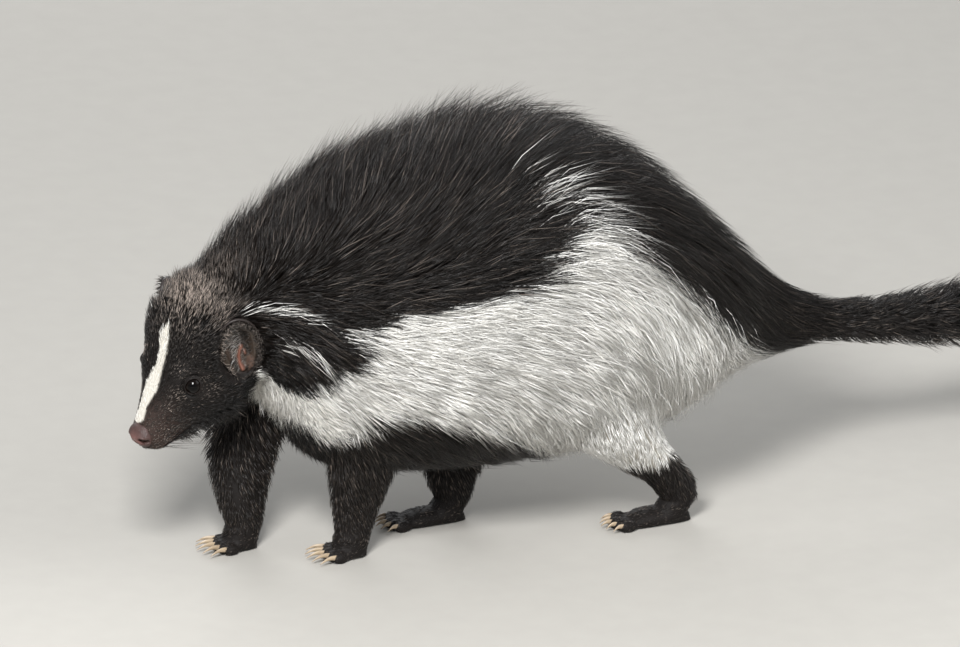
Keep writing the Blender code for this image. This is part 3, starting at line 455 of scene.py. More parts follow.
def white_share(points):
    """How many of the hairs at these places are white, 0 to 1."""
    x, y, z = np.moveaxis(points, -1, 0)
    (top, top_soft), (low, low_soft) = read_off(BAND_TOP, y), read_off(BAND_LOW, y)
    aside = np.abs(x - np.interp(y, stations[:, 1], stations[:, 0]))
    total = smooth((top - z) / top_soft + 0.5) * smooth((z - low) / low_soft + 0.5)
    total *= smooth((aside - read_off(BAND_INNER, y)[0]) / 5) * (y < BAND_END)
    for line, reach, most in STREAKS:
        far = off_line(np.stack([np.abs(x), y, z], -1), line)
        total = np.maximum(total, most * smooth(1.5 - far / reach))
    x, y, z = np.moveaxis(in_head(points), -1, 0)
    total *= smooth((y - read_off(BAND_START, z)[0]) / 3)
    middle, half = read_off(BLAZE, y)
    blaze = smooth((half - np.abs(x - middle)) / 1.8 + 0.5) * ((y > 6) & (y < 67) & (z > 0))
    return np.maximum(total, blaze)


def paint(piece, name, *parts):
    """Stores four numbers at each point of a piece, for its material to read."""
    colours = np.stack(np.broadcast_arrays(*parts), -1)
    piece.data.attributes.new(name, "FLOAT_COLOR", "POINT").data.foreach_set("color", colours.ravel())


skin = join([skin, legs])
places = rows_of(skin.data.vertices, "co") / MM + [0, MIDDLE_Y, 0]
own = in_head(places)
thin_haired = smooth((34 - own[:, 1]) / 24) * (own[:, 1] > -3) * (places[:, 2] > 50)  # the muzzle
paint(skin, "marks", white_share(places), thin_haired, smooth((5.7 - off_eyes(own)) / 0.5), 1)


def linear(code):
    """sRGB hex to the linear colour that a shader takes."""
    parts = [int(code[i:i + 2], 16) / 255 for i in (1, 3, 5)]
    return (*(p / 12.92 if p <= 0.04045 else ((p + 0.055) / 1.055) ** 2.4 for p in parts), 1)


def node(tree, kind, inputs=None, **settings):
    """Adds a node; an input is a value or the socket of another node."""
    made = tree.nodes.new("ShaderNode" + kind)
    for name, value in settings.items():
        setattr(made, name, value)
    for name, value in (inputs or {}).items():
        if isinstance(value, bpy.types.NodeSocket):
            tree.links.new(value, made.inputs[name])
        else:
            made.inputs[name].default_value = value
    return made


def mix(tree, factor, a, b):
    """A colour between two, each a hex code or a socket."""
    a, b = (linear(c) if isinstance(c, str) else c for c in (a, b))
    return node(tree, "Mix", {"Factor": factor, "A": a, "B": b}, data_type="RGBA").outputs["Result"]


def spots(tree):
    """The places of a piece's surface, in metres."""
    return node(tree, "TexCoord").outputs["Object"]


def noise(tree, scale, detail=3.0):
    return node(tree, "TexNoise", {"Vector": spots(tree), "Scale": scale, "Detail": detail}).outputs["Fac"]


def bump(tree, height, strength, distance=0.0004):
    made = node(tree, "Bump", {"Height": height, "Strength": strength, "Distance": distance})
    return made.outputs["Normal"]


def painted(tree, name):
    """The four numbers that paint stored under a name."""
    read = node(tree, "Attribute", attribute_name=name)
    parts = node(tree, "SeparateColor", {"Color": read.outputs["Color"]})
    return *(parts.outputs[colour] for colour in ("Red", "Green", "Blue")), read.outputs["Alpha"]


def surface(tree, colour, roughness, inputs=None):
    shader = node(tree, "BsdfPrincipled", {"Base Color": colour, "Roughness": roughness, **(inputs or {})})
    node(tree, "OutputMaterial", {"Surface": shader.outputs["BSDF"]})


def new_material(name):
    material = bpy.data.materials.new(name)
    material.use_nodes = True
    material.node_tree.nodes.clear()
    return material, material.node_tree


def give(piece, material):
    piece.data.materials.clear()
    piece.data.materials.append(material)


# Dry tanned hide with down on it: nearly matt, finely grained, brown-black or pale as the hair.
hide, tree = new_material("tanned_hide")
is_white, is_bare, is_lid, _ = painted(tree, "marks")
grain, patchy = noise(tree, 900.0, 4.0), noise(tree, 90.0)  # the roots of hairs about 1 mm apart, and patches
colour = mix(tree, patchy, "#060403", "#110b08")
colour = mix(tree, is_bare, colour, mix(tree, grain, "#1e1512", "#382a24"))
colour = mix(tree, is_lid, colour, "#2a211e")
colour = mix(tree, is_white, colour, "#bdb8ae")
surface(tree, colour, 0.7, {"Specular IOR Level": 0.25, "Normal": bump(tree, grain, 0.5)})
give(skin, hide)
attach(skin, "root")
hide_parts("head", "neck", "torso", "tail_base", "tail_middle", "tail_tip",
            *(f"{kind}_{part}_{word}" for kind in ("front", "hind") for part in ("leg", "foot")
              for word in ("left", "right")))

# ---------------------------------------------------------------- guard hair of neck, trunk and tail
# Long coarse hair in thin tufts, each a flat tapered solid of three sides that is set in the hide
# and combed back. It stands up over the neck and back, and hangs down over flank and haunch.
HAIR_STEPS = np.array([0.0, 0.5, 1.0])
HAIR_WIDTH = np.array([0.85, 1.0])
HAIRS_IN_LOCK, HAIRS_IN_POINT = 36, 18
LOCK_SPREAD, HAIR_SPREAD = (0.14, 0.2), (0.13, 0.14)  # of the slant in radians, and of the lift as a share
STRAY_SHARE = 0.11
ROOT_DEEP = 1.2  # how far a long hair starts under the hide
LIFT = (0.12, 1.45)  # least and most, in radians
REACH = (0.42, 1.27)  # least and most of the coat's depth that a hair's tip comes to
RUN = (2.0, 58.0)  # least and most that a hair runs along the hide
draw = np.random.default_rng(7)
# How the hair lies at places down the side, from the back line (0 degrees) to the belly (180):
# y, then for each place its slant towards the belly and its lift from the hide, in degrees.
LIE_PLACES = (0, 25, 55, 80, 115, 150, 180)
LIE = np.array([
    (-78, 0, 40, -10, 38, 0, 28, 8, 22, 15, 22, 10, 28, 0, 28),
    (-50, 0, 80, -46, 52, 22, 21, 24, 20, 22, 22, 10, 30, 0, 30),
    (-20, 0, 76, -56, 50, 12, 23, 16, 18, 36, 16, 25, 18, 0, 18),
    (10, 0, 80, -50, 50, -10, 25, 10, 17, 42, 15, 30, 15, 0, 15),
    (45, 0, 80, -34, 46, -14, 24, 12, 16, 50, 14, 38, 14, 0, 14),
    (80, 0, 68, -18, 40, 0, 20, 22, 14, 60, 14, 45, 14, 0, 14),
    (115, 0, 52, -6, 33, 14, 18, 40, 14, 70, 14, 50, 14, 0, 14),
    (150, 0, 36, 6, 25, 38, 17, 62, 14, 74, 14, 60, 14, 0, 14),
    (185, 0, 25, 20, 20, 48, 15, 64, 14, 70, 14, 50, 14, 0, 14),
    (215, 0, 16, 18, 15, 30, 14, 40, 14, 45, 14, 30, 14, 0, 14),
    (250, 0, 14, 5, 14, 10, 14, 12, 14, 12, 14, 8, 14, 0, 14),
    *((y, *(0, lift) * len(LIE_PLACES)) for y, lift in ((300, 16), (404, 25), (470, 20)))])


def lie_at(along, angle):
    """Slant towards the belly and lift of the hair, in radians."""
    off = np.degrees(np.abs((angle - np.pi / 2 + np.pi) % (2 * np.pi) - np.pi))
    rows = np.stack(read_off(LIE, np.interp(along, lengths, stations[:, 1])), 1).reshape(len(off), -1, 2)
    i = np.clip(np.searchsorted(LIE_PLACES, off, "right") - 1, 0, len(LIE_PLACES) - 2)
    low, high = np.take(LIE_PLACES, i), np.take(LIE_PLACES, i + 1)
    t = smooth((off - low) / (high - low))[:, None]
    at = np.arange(len(off))
    return np.radians(rows[at, i] * (1 - t) + rows[at, i + 1] * t).T


def leaders_of(points, every):
    """Some of the places, one in so many, and for each place the number of the nearest of them."""
    leaders = draw.choice(len(points), max(1, len(points) // every), replace=False)
    near = KDTree(len(leaders))
    for i, k in enumerate(leaders):
        near.insert(points[k], i)
    near.balance()
    return leaders, np.array([near.find(p)[1] for p in points])


def long_hair(along, angle):
    """Paths of hairs from their roots on the trunk, the direction out of the hide at each point,
    and which are stray. Hair grows in locks, and each lock has its own lift, slant and length."""
    count = len(along)
    leaders, lock = leaders_of(tube_point(along, angle, SKIN_SHARE), HAIRS_IN_LOCK)
    locks = len(leaders)
    upper = np.clip(0.3 + np.sin(angle), 0, 1)
    slant, lift = lie_at(along, angle)
    slant = slant + (draw.normal(0, LOCK_SPREAD[0], locks)[lock] + draw.normal(0, HAIR_SPREAD[0], count))
    of_lock = draw.normal(0, LOCK_SPREAD[1], locks)[lock] * (0.4 + 0.6 * upper)
    lift = lift * (1 + (of_lock + draw.normal(0, HAIR_SPREAD[1], count)))
    stray = draw.random(count) < STRAY_SHARE * (0.25 + upper)
    lift = np.clip(lift * np.where(stray, 1.15, 1), *LIFT)
    rows = spline(lengths, stations, np.clip(along, 0, TAIL_END))
    c, s = np.cos(angle), np.sin(angle)
    depth = np.hypot(c * rows[:, 10], s * np.where(s > 0, rows[:, 9], rows[:, 11]))
    reach = draw.uniform(0.82, 1.06, locks)[lock] - 0.4 * draw.random(count) ** 1.6
    reach = np.clip(np.where(stray, draw.uniform(1.0, REACH[1], count), reach), *REACH)
    height = np.maximum(depth * (reach - SKIN_SHARE), 2.0 + 2.5 * smooth((HEAD_END + 22 - along) / 18))
    run = np.clip(height / np.tan(lift), *RUN)
    step = tube_point(along, angle + 0.02, SKIN_SHARE) - tube_point(along, angle - 0.02, SKIN_SHARE)
    turn = -np.tanh(4 * np.cos(angle)) * run * np.sin(slant) / np.maximum(size_of(step) / 0.04, 4)
    ahead = np.minimum(run * np.cos(slant), TAIL_END + 10 - along)
    steep = smooth((lift - 0.5) / 0.7)
    extra = np.maximum(height - depth * (reach - SKIN_SHARE), 0)
    path, outward = [], []
    for t in HAIR_STEPS:
        swept = t ** (1 + 0.35 * steep)
        rise = 1 - (1 - t) ** (1.7 - 0.6 * steep)
        share = SKIN_SHARE + (reach - SKIN_SHARE) * rise
        place = along + ahead * swept, angle + turn * swept
        point = tube_point(*place, share, extra * rise)
        out = unit(tube_point(*place, share + 0.05, 1 + extra * rise) - point)
        path.append(point - out * (ROOT_DEEP if t == 0 else 0))
        outward.append(out)
    return np.stack(path, 1), np.stack(outward, 1), stray


def clump(paths, pull):
    """Draws the tips of neighbouring hairs together into points."""
    leaders, near = leaders_of(paths[:, 1], HAIRS_IN_POINT)
    lead = leaders[near]
    strength = (pull * draw.uniform(0.4, 1.1, len(paths)))[:, None, None]
    return paths + (paths[lead] - paths) * strength * HAIR_STEPS[None, :, None] ** 1.4, lead


def clear_of_openings(paths):
    """Which hairs leave the eyes and the mouths of the ears free."""
    own = in_head(paths)
    covers = np.zeros(own.shape[:2], bool)
    for side in (1, -1):
        r, w = in_ear(own, side)
        covers |= (r < 0.93) & (w > -9) & (w < 30)
        _, _, w, r = in_eye(own, side)
        covers |= (r < 1.05) & (w > 0) & (w < 12)
    return ~covers.any(axis=1)


def hair_piece(name, paths, outward, width, facts, patch):
    """One mesh of many closed tufts. facts are each tuft's white, shade and warmth, patch its place
    on the hide laid flat, where its own small patch of the OFBake map lies."""
    count, k = paths.shape[0], paths.shape[1] - 1
    core, ahead = paths[:, :k], unit(np.diff(paths, axis=1), TINY)
    side = unit(np.cross(ahead, outward[:, :k]), TINY)
    up = np.cross(side, ahead)
    lean = draw.normal(0, 0.45, count)[:, None, None]
    profile = HAIR_WIDTH if k == 2 else np.linspace(1, 0.4, k)
    half = (width[:, None] * profile / 2)[..., None]
    side, up = side * np.cos(lean) + up * np.sin(lean), up * np.cos(lean) - side * np.sin(lean)
    side, up = side * half, up * half
    body = np.stack([core - side - up * 0.3, core + up * 0.75, core + side - up * 0.3], 2)
    points = np.concatenate([body.reshape(count, 3 * k, 3), paths[:, -1:]], 1)
    # Faces of one tuft: quads between its triangular rings, its closed root and its tip.
    per = 3 * k + 1
    quads = [(3 * r + i, 3 * r + (i + 1) % 3, 3 * r + 3 + (i + 1) % 3, 3 * r + 3 + i)
             for r in range(k - 1) for i in range(3)]
    thirds = [(0, 2, 1), *((per - 4 + i, per - 4 + (i + 1) % 3, per - 1) for i in range(3))]
    one = np.concatenate([np.ravel(quads), np.ravel(thirds)]).astype(int)
    starts = np.concatenate([4 * np.arange(len(quads)), 4 * len(quads) + 3 * np.arange(len(thirds))])
    loops, starts = ((part + step * np.arange(count)[:, None]).ravel()
                     for part, step in ((one, per), (starts, len(one))))
    mesh = bpy.data.meshes.new(name)
    mesh.vertices.add(count * per)
    mesh.vertices.foreach_set("co", np.maximum(in_frame(points), [-np.inf, -np.inf, 0.2 * MM]).ravel())
    mesh.loops.add(len(loops))
    mesh.loops.foreach_set("vertex_index", loops)
    mesh.polygons.add(len(starts))
    mesh.polygons.foreach_set("loop_start", starts)
    mesh.update(calc_edges=True)
    mesh.shade_smooth()
    t = np.append(np.repeat(np.linspace(0, 0.75, k), 3), 1.0)
    across = np.append(np.tile([-1, 0, 1], k), 0)
    flat = np.stack([patch[:, 0:1] + 0.0014 * across, patch[:, 1:2] + 0.003 * (t - 0.5)], -1).reshape(-1, 2)
    mesh.uv_layers.new(name="OFBake").data.foreach_set("uv", np.clip(flat[loops], 0.001, 0.999).ravel())
    piece = added(name, mesh)
    paint(piece, "fur", facts[:, 0:1], t, facts[:, 1:2], facts[:, 2:3])
    give(piece, hair)
    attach(piece, "root")


# Guard hair: smooth keratin with a satin shine, brown-black or white. Some dark hairs have paler tips, partly
# grizzle and partly painted glints; white hair greys towards its root, painted shade of the deep coat.
hair, tree = new_material("guard_hair")
is_white, up_hair, shade, warmth = painted(tree, "fur")
tip = node(tree, "MapRange", {"Value": up_hair, "From Min": 0.72, "From Max": 0.86, "To Max": 1.0})
browner = node(tree, "Math", {0: warmth, 1: tip.outputs["Result"]}, operation="MULTIPLY").outputs["Value"]
# White hair greys towards its root: painted shade where the coat is deep.
root = node(tree, "MapRange", {"Value": up_hair, "From Max": 0.5, "To Min": 0.45, "To Max": 1.0})
brown = mix(tree, browner, mix(tree, shade, "#050302", "#19120d"), "#a99b90")
white = mix(tree, root.outputs["Result"], "#c4bfb5", mix(tree, shade, "#dad7d0", "#fbfaf7"))
surface(tree, mix(tree, is_white, brown, white), 0.42, {"IOR": 1.55, "Specular IOR Level": 0.38})

# Brown and grizzled places of the head: middle in the head's frame, reach and how brown. The two 43 back,
# behind the eye, are a brown sheen painted into the hair's colour.
BROWN_AND_SHEEN = [((9, 12, -2), 12, 0.75), ((14.5, 40.5, 25), 3.6, 1.2), ((14, 30.5, 14.5), 4.5, 0.9),
         ((10.7, 23.6, 11), 4.5, 0.7), ((22, 43, 18.5), 4, 0.7), ((24.4, 43, 11), 4.5, 0.7),
         ((0, 71, 42), 17, 1.3), ((0, 86, 52), 16, 0.65), ((18, 74, 34), 11, 0.8)]


def hair_facts(at, lead, shade, pale):
    """White, shade and warmth of each hair, from its place and its lock. shade is what a dark hair has of
    brown on average, and pale is how many hairs have paler tips, partly grizzle and partly painted glints on
    the dark coat."""
    count, own = len(at), in_head(at)
    alike = np.where(at[:, 1] < -15, 0.08, 0.2)  # how far the hairs of a lock share their colour
    luck = (1 - alike) * draw.random(count) + alike * draw.random(count)[lead]
    sided = np.hstack([np.abs(own[:, :2]), own[:, 2:]])
    # Brown places, with the painted sheen behind the eye among them.
    warm = np.max([most * hill(size_of(sided - middle), reach) for middle, reach, most in BROWN_AND_SHEEN], axis=0)
    warm = warm * draw.uniform(0, 1.35, count) ** 1.7
    # Paler tips on some hairs: partly grizzle, partly painted glints on the dark coat.
    warm = np.where(draw.random(count) < pale, np.maximum(warm, draw.uniform(0.15, 0.7, count)), warm)
    shade = np.clip(draw.normal(shade, 0.28, count), 0, 1)
    is_white = white_share(at) > np.clip(luck, 0.04, 0.96)
    shade = np.where(is_white & (own[:, 1] < 66), shade * 0.3, shade)  # the blaze's white is dimmed and even: painted shade where the key light falls full on the face
    return np.stack([is_white.astype(float), shade, np.clip(warm, 0, 1)], 1)


# Each piece of the coat: from y (or from the back of the head), to y, side, and how many tufts.
COAT = [("coat_neck", None, -26, 0, 19400), ("coat_shoulder_left", -26, 68, 1, 19500),
        ("coat_shoulder_right", -26, 68, -1, 19500), ("coat_haunch_left", 68, 212, 1, 19500),
        ("coat_haunch_right", 68, 212, -1, 19500), ("coat_tail", 212, 466, 0, 13000)]
GRID_STEP, GRID_DEGREES = 2.0, 3.0
FACE_TURN, DRAW_TURN = 0.052, 0.0523  # GRID_DEGREES in radians, as the faces' areas and the draws take it
# The second number is the share of hairs with paler tips, partly grizzle and partly painted glints.
SHADE, PALE_TIPS_AND_GLINTS, TAIL_PALE = 0.55, 0.07, 0.17
PULL, WHITE_PULL = 0.46, 0.24  # how far tips are drawn together, and how much less in white or short hair
for name, first, last, side, count in COAT:
    start = HEAD_END - 7 if first is None else float(along_at(first))
    along_grid = np.arange(start, float(along_at(last)), GRID_STEP)[:, None]
    angle_grid = np.radians(np.arange(-90, 270, GRID_DEGREES))
    if side:
        angle_grid = angle_grid[(np.cos(angle_grid + 0.02) * side) > 0]
    grid = tube_point(along_grid, angle_grid, SKIN_SHARE)
    over = tube_point(along_grid + GRID_STEP, angle_grid, SKIN_SHARE) - grid
    across = tube_point(along_grid, angle_grid + FACE_TURN, SKIN_SHARE) - grid
    thin_belly = 1 - 0.6 * smooth((-np.sin(angle_grid) - 0.55) / 0.4)
    chance = size_of(np.cross(over, across)) * thin_belly
    picks = draw.choice(chance.size, count, p=(chance / chance.sum()).ravel())
    along = along_grid[picks // len(angle_grid), 0] + draw.uniform(0, GRID_STEP, count)
    angle = angle_grid[picks % len(angle_grid)] + draw.uniform(0, DRAW_TURN, count)
    paths, outward, stray = long_hair(along, angle)
    neck = smooth((along_at(-5) - along) / 15)
    paths, lead = clump(paths, PULL - WHITE_PULL * np.maximum(white_share(paths[:, 1]), neck))
    facts = hair_facts(paths[:, 1] * 0.6 + paths[:, 2] * 0.4, lead, SHADE,
                       np.where(along > along_at(225), TAIL_PALE, PALE_TIPS_AND_GLINTS))
    width = draw.uniform(0.27, 0.53, count) * np.where(along > along_at(250), 0.9, 1 - 0.22 * neck)
    patch = np.stack([((angle + np.pi / 2) % (2 * np.pi)) / (2 * np.pi),
                      (along - start) / (along_grid[-1, 0] + GRID_STEP - start)], 1)
    if side:
        patch[:, 0] = (patch[:, 0] * 2) % 1
    width *= np.where(stray, 0.7, 1)
    free = clear_of_openings(paths)
    hair_piece(name, paths[free], outward[free], width[free], facts[free], 0.01 + 0.98 * patch[free])

# ---------------------------------------------------------------- short hair of head, legs and feet
# Short straight hair that lies close to the hide, set from the muzzle back over the face and down
# the legs to the toes. It is longest on the crown, jaw and upper leg, and finest on muzzle and toes.
skin.data.calc_loop_triangles()
thirds = rows_of(skin.data.loop_triangles, "vertices", int)
on_limb = thirds[:, 0] >= len(rings) * AROUND
first, second, third = (places[thirds[:, i]] for i in range(3))
normals = np.cross(second - first, third - first)
face_sizes, normals = size_of(normals), unit(normals, TINY)
middles = (first + second + third) / 3


def short_hair(name, count, shade, pale, chance, grown):
    """Tufts on the skin's faces. grown gives, for places on the hide, the hairs' direction, length,
    lift and width, and the places laid flat."""
    chance = face_sizes * chance
    picks = draw.choice(len(thirds), count, p=chance / chance.sum())
    u, v = draw.random(count), draw.random(count)
    u, v = (np.where(u + v > 1, 1 - t, t)[:, None] for t in (u, v))
    root = first[picks] + (second - first)[picks] * u + (third - first)[picks] * v
    n = normals[picks]
    way, far, lift, width, patch = grown(root)
    way = way + draw.normal(0, 0.10, (count, 3))
    way = unit(way - n * np.sum(way * n, axis=1, keepdims=True), TINY)
    far = (far * draw.uniform(0.75, 1.15, count))[:, None]
    lift = np.clip(lift * draw.normal(1, 0.2, count), 0.08, 1.4)[:, None]
    path = []
    for t in HAIR_STEPS:
        rise = np.sin(lift) * (t - 0.35 * t * t * np.cos(lift))
        path.append(root + (way * np.cos(lift) * t + n * rise) * far - n * (0.35 if t == 0 else 0))
    paths = np.stack(path, 1)
    paths[:, :, 2] = np.maximum(paths[:, :, 2], 0.3)
    facts = hair_facts(paths[:, 1], np.arange(count), shade, pale)
    width = width * draw.uniform(0.75, 1.2, count)
    free = clear_of_openings(paths)
    hair_piece(name, paths[free], n[free][:, None], width[free], facts[free], patch[free])


def face_hair(points):
    """The face's hair lies back, and hangs under the back of the jaw."""
    x, y, z = in_head(points).T
    hang = smooth((y - 12) / 10) * smooth((-z - 4) / 7) * smooth((60 - y) / 14)
    way = np.stack([x * 0.012, 1 + 0 * x, -0.25 * smooth((12 - z) / 20) - 0.7 * hang], 1) @ HEAD_TURNED.T
    far = np.interp(y, (0, 12, 25, 38, 50, 62, 74), (1.5, 2.2, 3.0, 4.0, 5.5, 8.0, 11.0))
    far = far * (1 + 0.4 * smooth((-z - 8) / 10) + 1.8 * hang)
    far = far * (0.4 + 0.6 * smooth((off_eyes(in_head(points)) - 5) / 8))
    lift = np.interp(y, (0, 30, 50, 66, 74), (0.34, 0.32, 0.42, 0.6, 0.8))
    patch = np.stack([0.5 + np.arctan2(x, z - 3) / (2 * np.pi) * 0.98, np.clip(y / 80, 0.005, 0.995)], 1)
    return (way / HEAD_SCALE, far, lift * np.where(z > 22, 1.2, 0.85) + 0.75 * hang,
            np.interp(y, (0, 25, 70), (0.22, 0.28, 0.35)), patch)


own = in_head(middles)
rise, reach = mouth_gap(own)
bare = on_limb | (own[:, 1] >= 78) | (own[:, 1] <= 0) | (np.abs(rise) < 0.9) & (reach > 0.4)
bare |= size_of((own - NOSE_PAD) / NOSE_ROOM) <= 1
for side in (1, -1):
    r, w = in_ear(own, side)
    bare |= r + (w < -12) <= 0.97
    _, _, w, r = in_eye(own, side)
    bare |= (r < 1.1) & (w > -2)
crowded = np.interp(own[:, 1], (0, 20, 45, 75), (1.7, 1.5, 1.0, 1.2))
short_hair("coat_face", 17500, 0.1, 0.03, ~bare * crowded, face_hair)


# x and y of the legs: front right, front left, hind right, hind left.
LEG_MIDDLES = np.array([(-22, -38), (24, 2), (-28, 95), (34, 165)])


def leg_hair(points):
    """A leg's hair lies down and a little back and out, and forwards over the toes."""
    x, y, z = points.T
    foot = smooth((17 - z) / 7)
    way = np.stack([0.1 * np.sign(x) * (1 - foot), 0.35 * (1 - foot) - 1.0 * foot,
                    -1.0 * (1 - foot) - 0.25 * foot], 1)
    leg = 2 * (y > 60) + (x > 0)
    turn = np.arctan2(*(points[:, :2] - LEG_MIDDLES[leg]).T) / (2 * np.pi) + 0.5
    patch = np.stack([0.25 * leg + 0.01 + 0.23 * turn, 0.01 + 0.98 * z / 100], 1)
    return (way, np.interp(z, (0, 6, 14, 25, 45, 70, 95), (1.6, 2.4, 4.0, 6.5, 9.5, 13.0, 16.0)),
            np.interp(z, (0, 10, 30, 60, 90), (0.15, 0.2, 0.3, 0.42, 0.55)),
            np.interp(z, (0, 12, 40, 90), (0.28, 0.34, 0.45, 0.55)), patch)


_, y, z = middles.T
on_limb = on_limb & (z < 92) & (z > 0.8) & (y > -95) & (y < RUMP_Y)
crowded = np.interp(z, (0, 12, 30, 90), (1.6, 1.5, 1.0, 0.8))
short_hair("coat_legs", 15500, 1.0, 0.22, on_limb * crowded, leg_hair)

# ---------------------------------------------------------------- eyes
# Glass taxidermy eyes: dark brown with a black pupil, high gloss, under the drawn lids.
CORNEA_RISE, CORNEA_RADIUS = 0.55, 3.0


def ball(name, segments, ring_count, radius=1.0):
    """A sphere to shape, and its points."""
    bpy.ops.mesh.primitive_uv_sphere_add(segments=segments, ring_count=ring_count, radius=radius)
    piece = bpy.context.object
    piece.name = name
    return piece, rows_of(piece.data.vertices, "co")


def face_out(piece):
    """Selects a piece and turns its faces outwards."""
    bpy.ops.object.select_all(action="DESELECT")
    piece.select_set(True)
    bpy.context.view_layer.objects.active = piece
    bpy.ops.object.mode_set(mode="EDIT")
    bpy.ops.mesh.select_all(action="SELECT")
    bpy.ops.mesh.normals_make_consistent(inside=False)
    bpy.ops.object.mode_set(mode="OBJECT")


def settle(piece, points):
    """Moves a shaped ball to its points in the head's frame, smooth and facing out."""
    piece.data.vertices.foreach_set("co", in_frame(placed(points)).ravel())
    piece.data.shade_smooth()
    face_out(piece)


glass, tree = new_material("glass_eye")
ring = node(tree, "Attribute", attribute_name="ring").outputs["Fac"]
iris = node(tree, "ValToRGB", {"Fac": ring})
stops = iris.color_ramp.elements
stops[0].color, stops[1].color = linear("#020101"), linear("#040302")
for position, code in ((0.45, "#020101"), (0.55, "#0a0503"), (0.8, "#070403")):
    stops.new(position).color = linear(code)
surface(tree, iris.outputs["Color"], 0.05, {"IOR": 1.4, "Specular IOR Level": 0.22})
for word, side in SIDES.items():
    eye, dome = ball(f"eyeball_{word}", 48, 32, EYE_RADIUS)
    r, front = np.hypot(dome[:, 0], dome[:, 1]), dome[:, 2] > 0
    dome[:, 2] += CORNEA_RISE * hill(r, CORNEA_RADIUS) * front
    centre, *ways = eye_frame(side)
    settle(eye, centre + dome @ np.stack(ways))
    ring = np.clip(r / EYE_RADIUS, 0, 1) * front + ~front
    eye.data.attributes.new("ring", "FLOAT", "POINT").data.foreach_set("value", ring)
    give(eye, glass)
    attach(eye, "root")
    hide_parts(f"eye_{word}")

# ---------------------------------------------------------------- nose pad
# Bare moist skin, brown-pink and finely pebbled, with two comma nostrils and a groove between.
# Lengths are shares of the pad's half sizes, up to where it takes its size.
NOSTRIL = np.array([(0.5, -0.84, 0.2), (0.66, -0.74, 0.18), (0.85, -0.5, 0.12), (0.96, -0.2, 0.0)])
NOSTRIL_WIDE = (0.19, 0.14, 0.11)  # of each length of the comma
NOSTRIL_DEEP, NOSTRIL_RIM = 3.2, 0.15
pad, way = ball("nose_pad", 96, 64)
way = way[:, [0, 2, 1]] * [1, -1, 1]
x, y, z = way.T
form = fuller(way, [0.8, 0.88, 0.8]) * NOSE_PAD_SIZE
front_part = smooth((-y - 0.1) / 0.5)
form[:, 1] += 1.4 * smooth((z - 0.35) / 0.6) + 0.8 * hill(x, 0.07) * front_part * smooth((0.25 - z) / 0.4)
holes = np.zeros(len(way))
for side in (1, -1):
    comma = NOSTRIL * [side, 1, 1]
    deep = np.max([np.exp(-((off_line(way, comma[i:i + 2]) / wide) ** 4)) * wide / 0.2
                   for i, wide in enumerate(NOSTRIL_WIDE)], axis=0)
    rim = hill(size_of(way - comma[0]) - 0.34, 0.1)
    form -= way * (NOSTRIL_DEEP * deep - NOSTRIL_RIM * rim)[:, None]
    holes = np.maximum(holes, deep)
settle(pad, form + NOSE_PAD)
pink = hill(np.hypot(x / 0.42, (z - 0.1) / 0.5)) * front_part
paint(pad, "pad_look", np.clip(holes * 1.6, 0, 1), pink, 0, 1)
rhinarium, tree = new_material("nose_skin")
is_hole, is_pink, *_ = painted(tree, "pad_look")
pebble = node(tree, "TexVoronoi", {"Vector": spots(tree), "Scale": 1900.0})
colour = mix(tree, noise(tree, 300.0), "#241816", "#4c3430")
# The nostrils are painted near-black and lose their shine: painted shade of the openings.
colour = mix(tree, is_hole, mix(tree, is_pink, colour, "#7d5752"), "#0c0706")
dull = node(tree, "MapRange", {"Value": is_hole, "From Max": 0.5, "To Min": 0.5, "To Max": 0.0})
surface(tree, colour, 0.46, {"Specular IOR Level": dull.outputs["Result"],
                             "Normal": bump(tree, pebble.outputs["Distance"], 0.6)})
give(pad, rhinarium)
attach(pad, "root")
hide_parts("nose")

# ---------------------------------------------------------------- ears
# Small round ears of thin bare skin over gristle: a cup with a rolled rim, and folds at the mouth
# of the canal that show orange-pink, with painted shade in its hollows. Fine short hair grows on the back and
# along the edge.
EAR_WALL, EAR_AROUND = 1.5, 72
EAR_OUTSIDE, EAR_INSIDE = np.linspace(6, 90, 20), np.linspace(90, 4, 24)  # rings, degrees from the middle
# Folds of the cup's floor: points across and up it, half width, height and how red.
EAR_FOLDS = ((((1.0, -2.4), (0.0, -4.4), (-0.8, -7.4), (-0.9, -10.6), (0.2, -14.2)), 1.1, 2.3, 0.75),
             (((2.4, -4.8), (2.5, -6.4)), 0.8, 2.4, 0.5), (((4.8, -9.5), (4.4, -13.5)), 2.4, 1.2, 0.16),
             (((2.0, 11.5), (6.4, 6.0), (7.4, -1.0), (7.0, -6.5)), 1.4, 1.6, 0.0),
             (((-6.0, 6.0), (-2.0, 9.0), (3.0, 8.6)), 1.2, 1.3, 0.0),
             (((-6.6, -2.0), (-5.0, -8.0)), 1.1, 2.0, 0.05))
# Painted shade in its hollows: across, up, half width, half height, how dark.
EAR_PIT_SHADES = ((-3.4, -6.5, 2.0, 4.0, 1.0), (-2.0, 12.5, 6.0, 3.6, 1.0), (-0.2, -16.0, 2.6, 1.8, 0.9),
            (1.0, 1.5, 2.6, 2.2, 0.8))
EAR_BACK_HAIRS, EAR_CUP_HAIRS = 1600, 1100


def from_ear(points, side):
    """From an ear's own frame to the animal's."""
    return placed((points @ EAR_BASIS + EAR) * [side, 1, 1])


def cup(degrees, angle, size=EAR_SIZE):
    """Places on the cup in its own frame, by degrees from its middle and by angle round it."""
    a = np.radians(degrees)
    wave = 2.6 * smooth((degrees - 50) / 40) * np.sin(angle - 0.5)
    return np.stack([size[0] * np.sin(a) * np.cos(angle), size[1] * np.sin(a) * np.sin(angle),
                     -size[2] * np.cos(a) + wave], -1)


def ear_hair(name, side, path, out, width, facts, patch):
    """A piece of hair given in the ear's own frame."""
    out = (unit(out) @ EAR_BASIS * [side, 1, 1]) @ HEAD_TURNED.T
    hair_piece(name, from_ear(path, side), out[:, None], width, facts, patch)


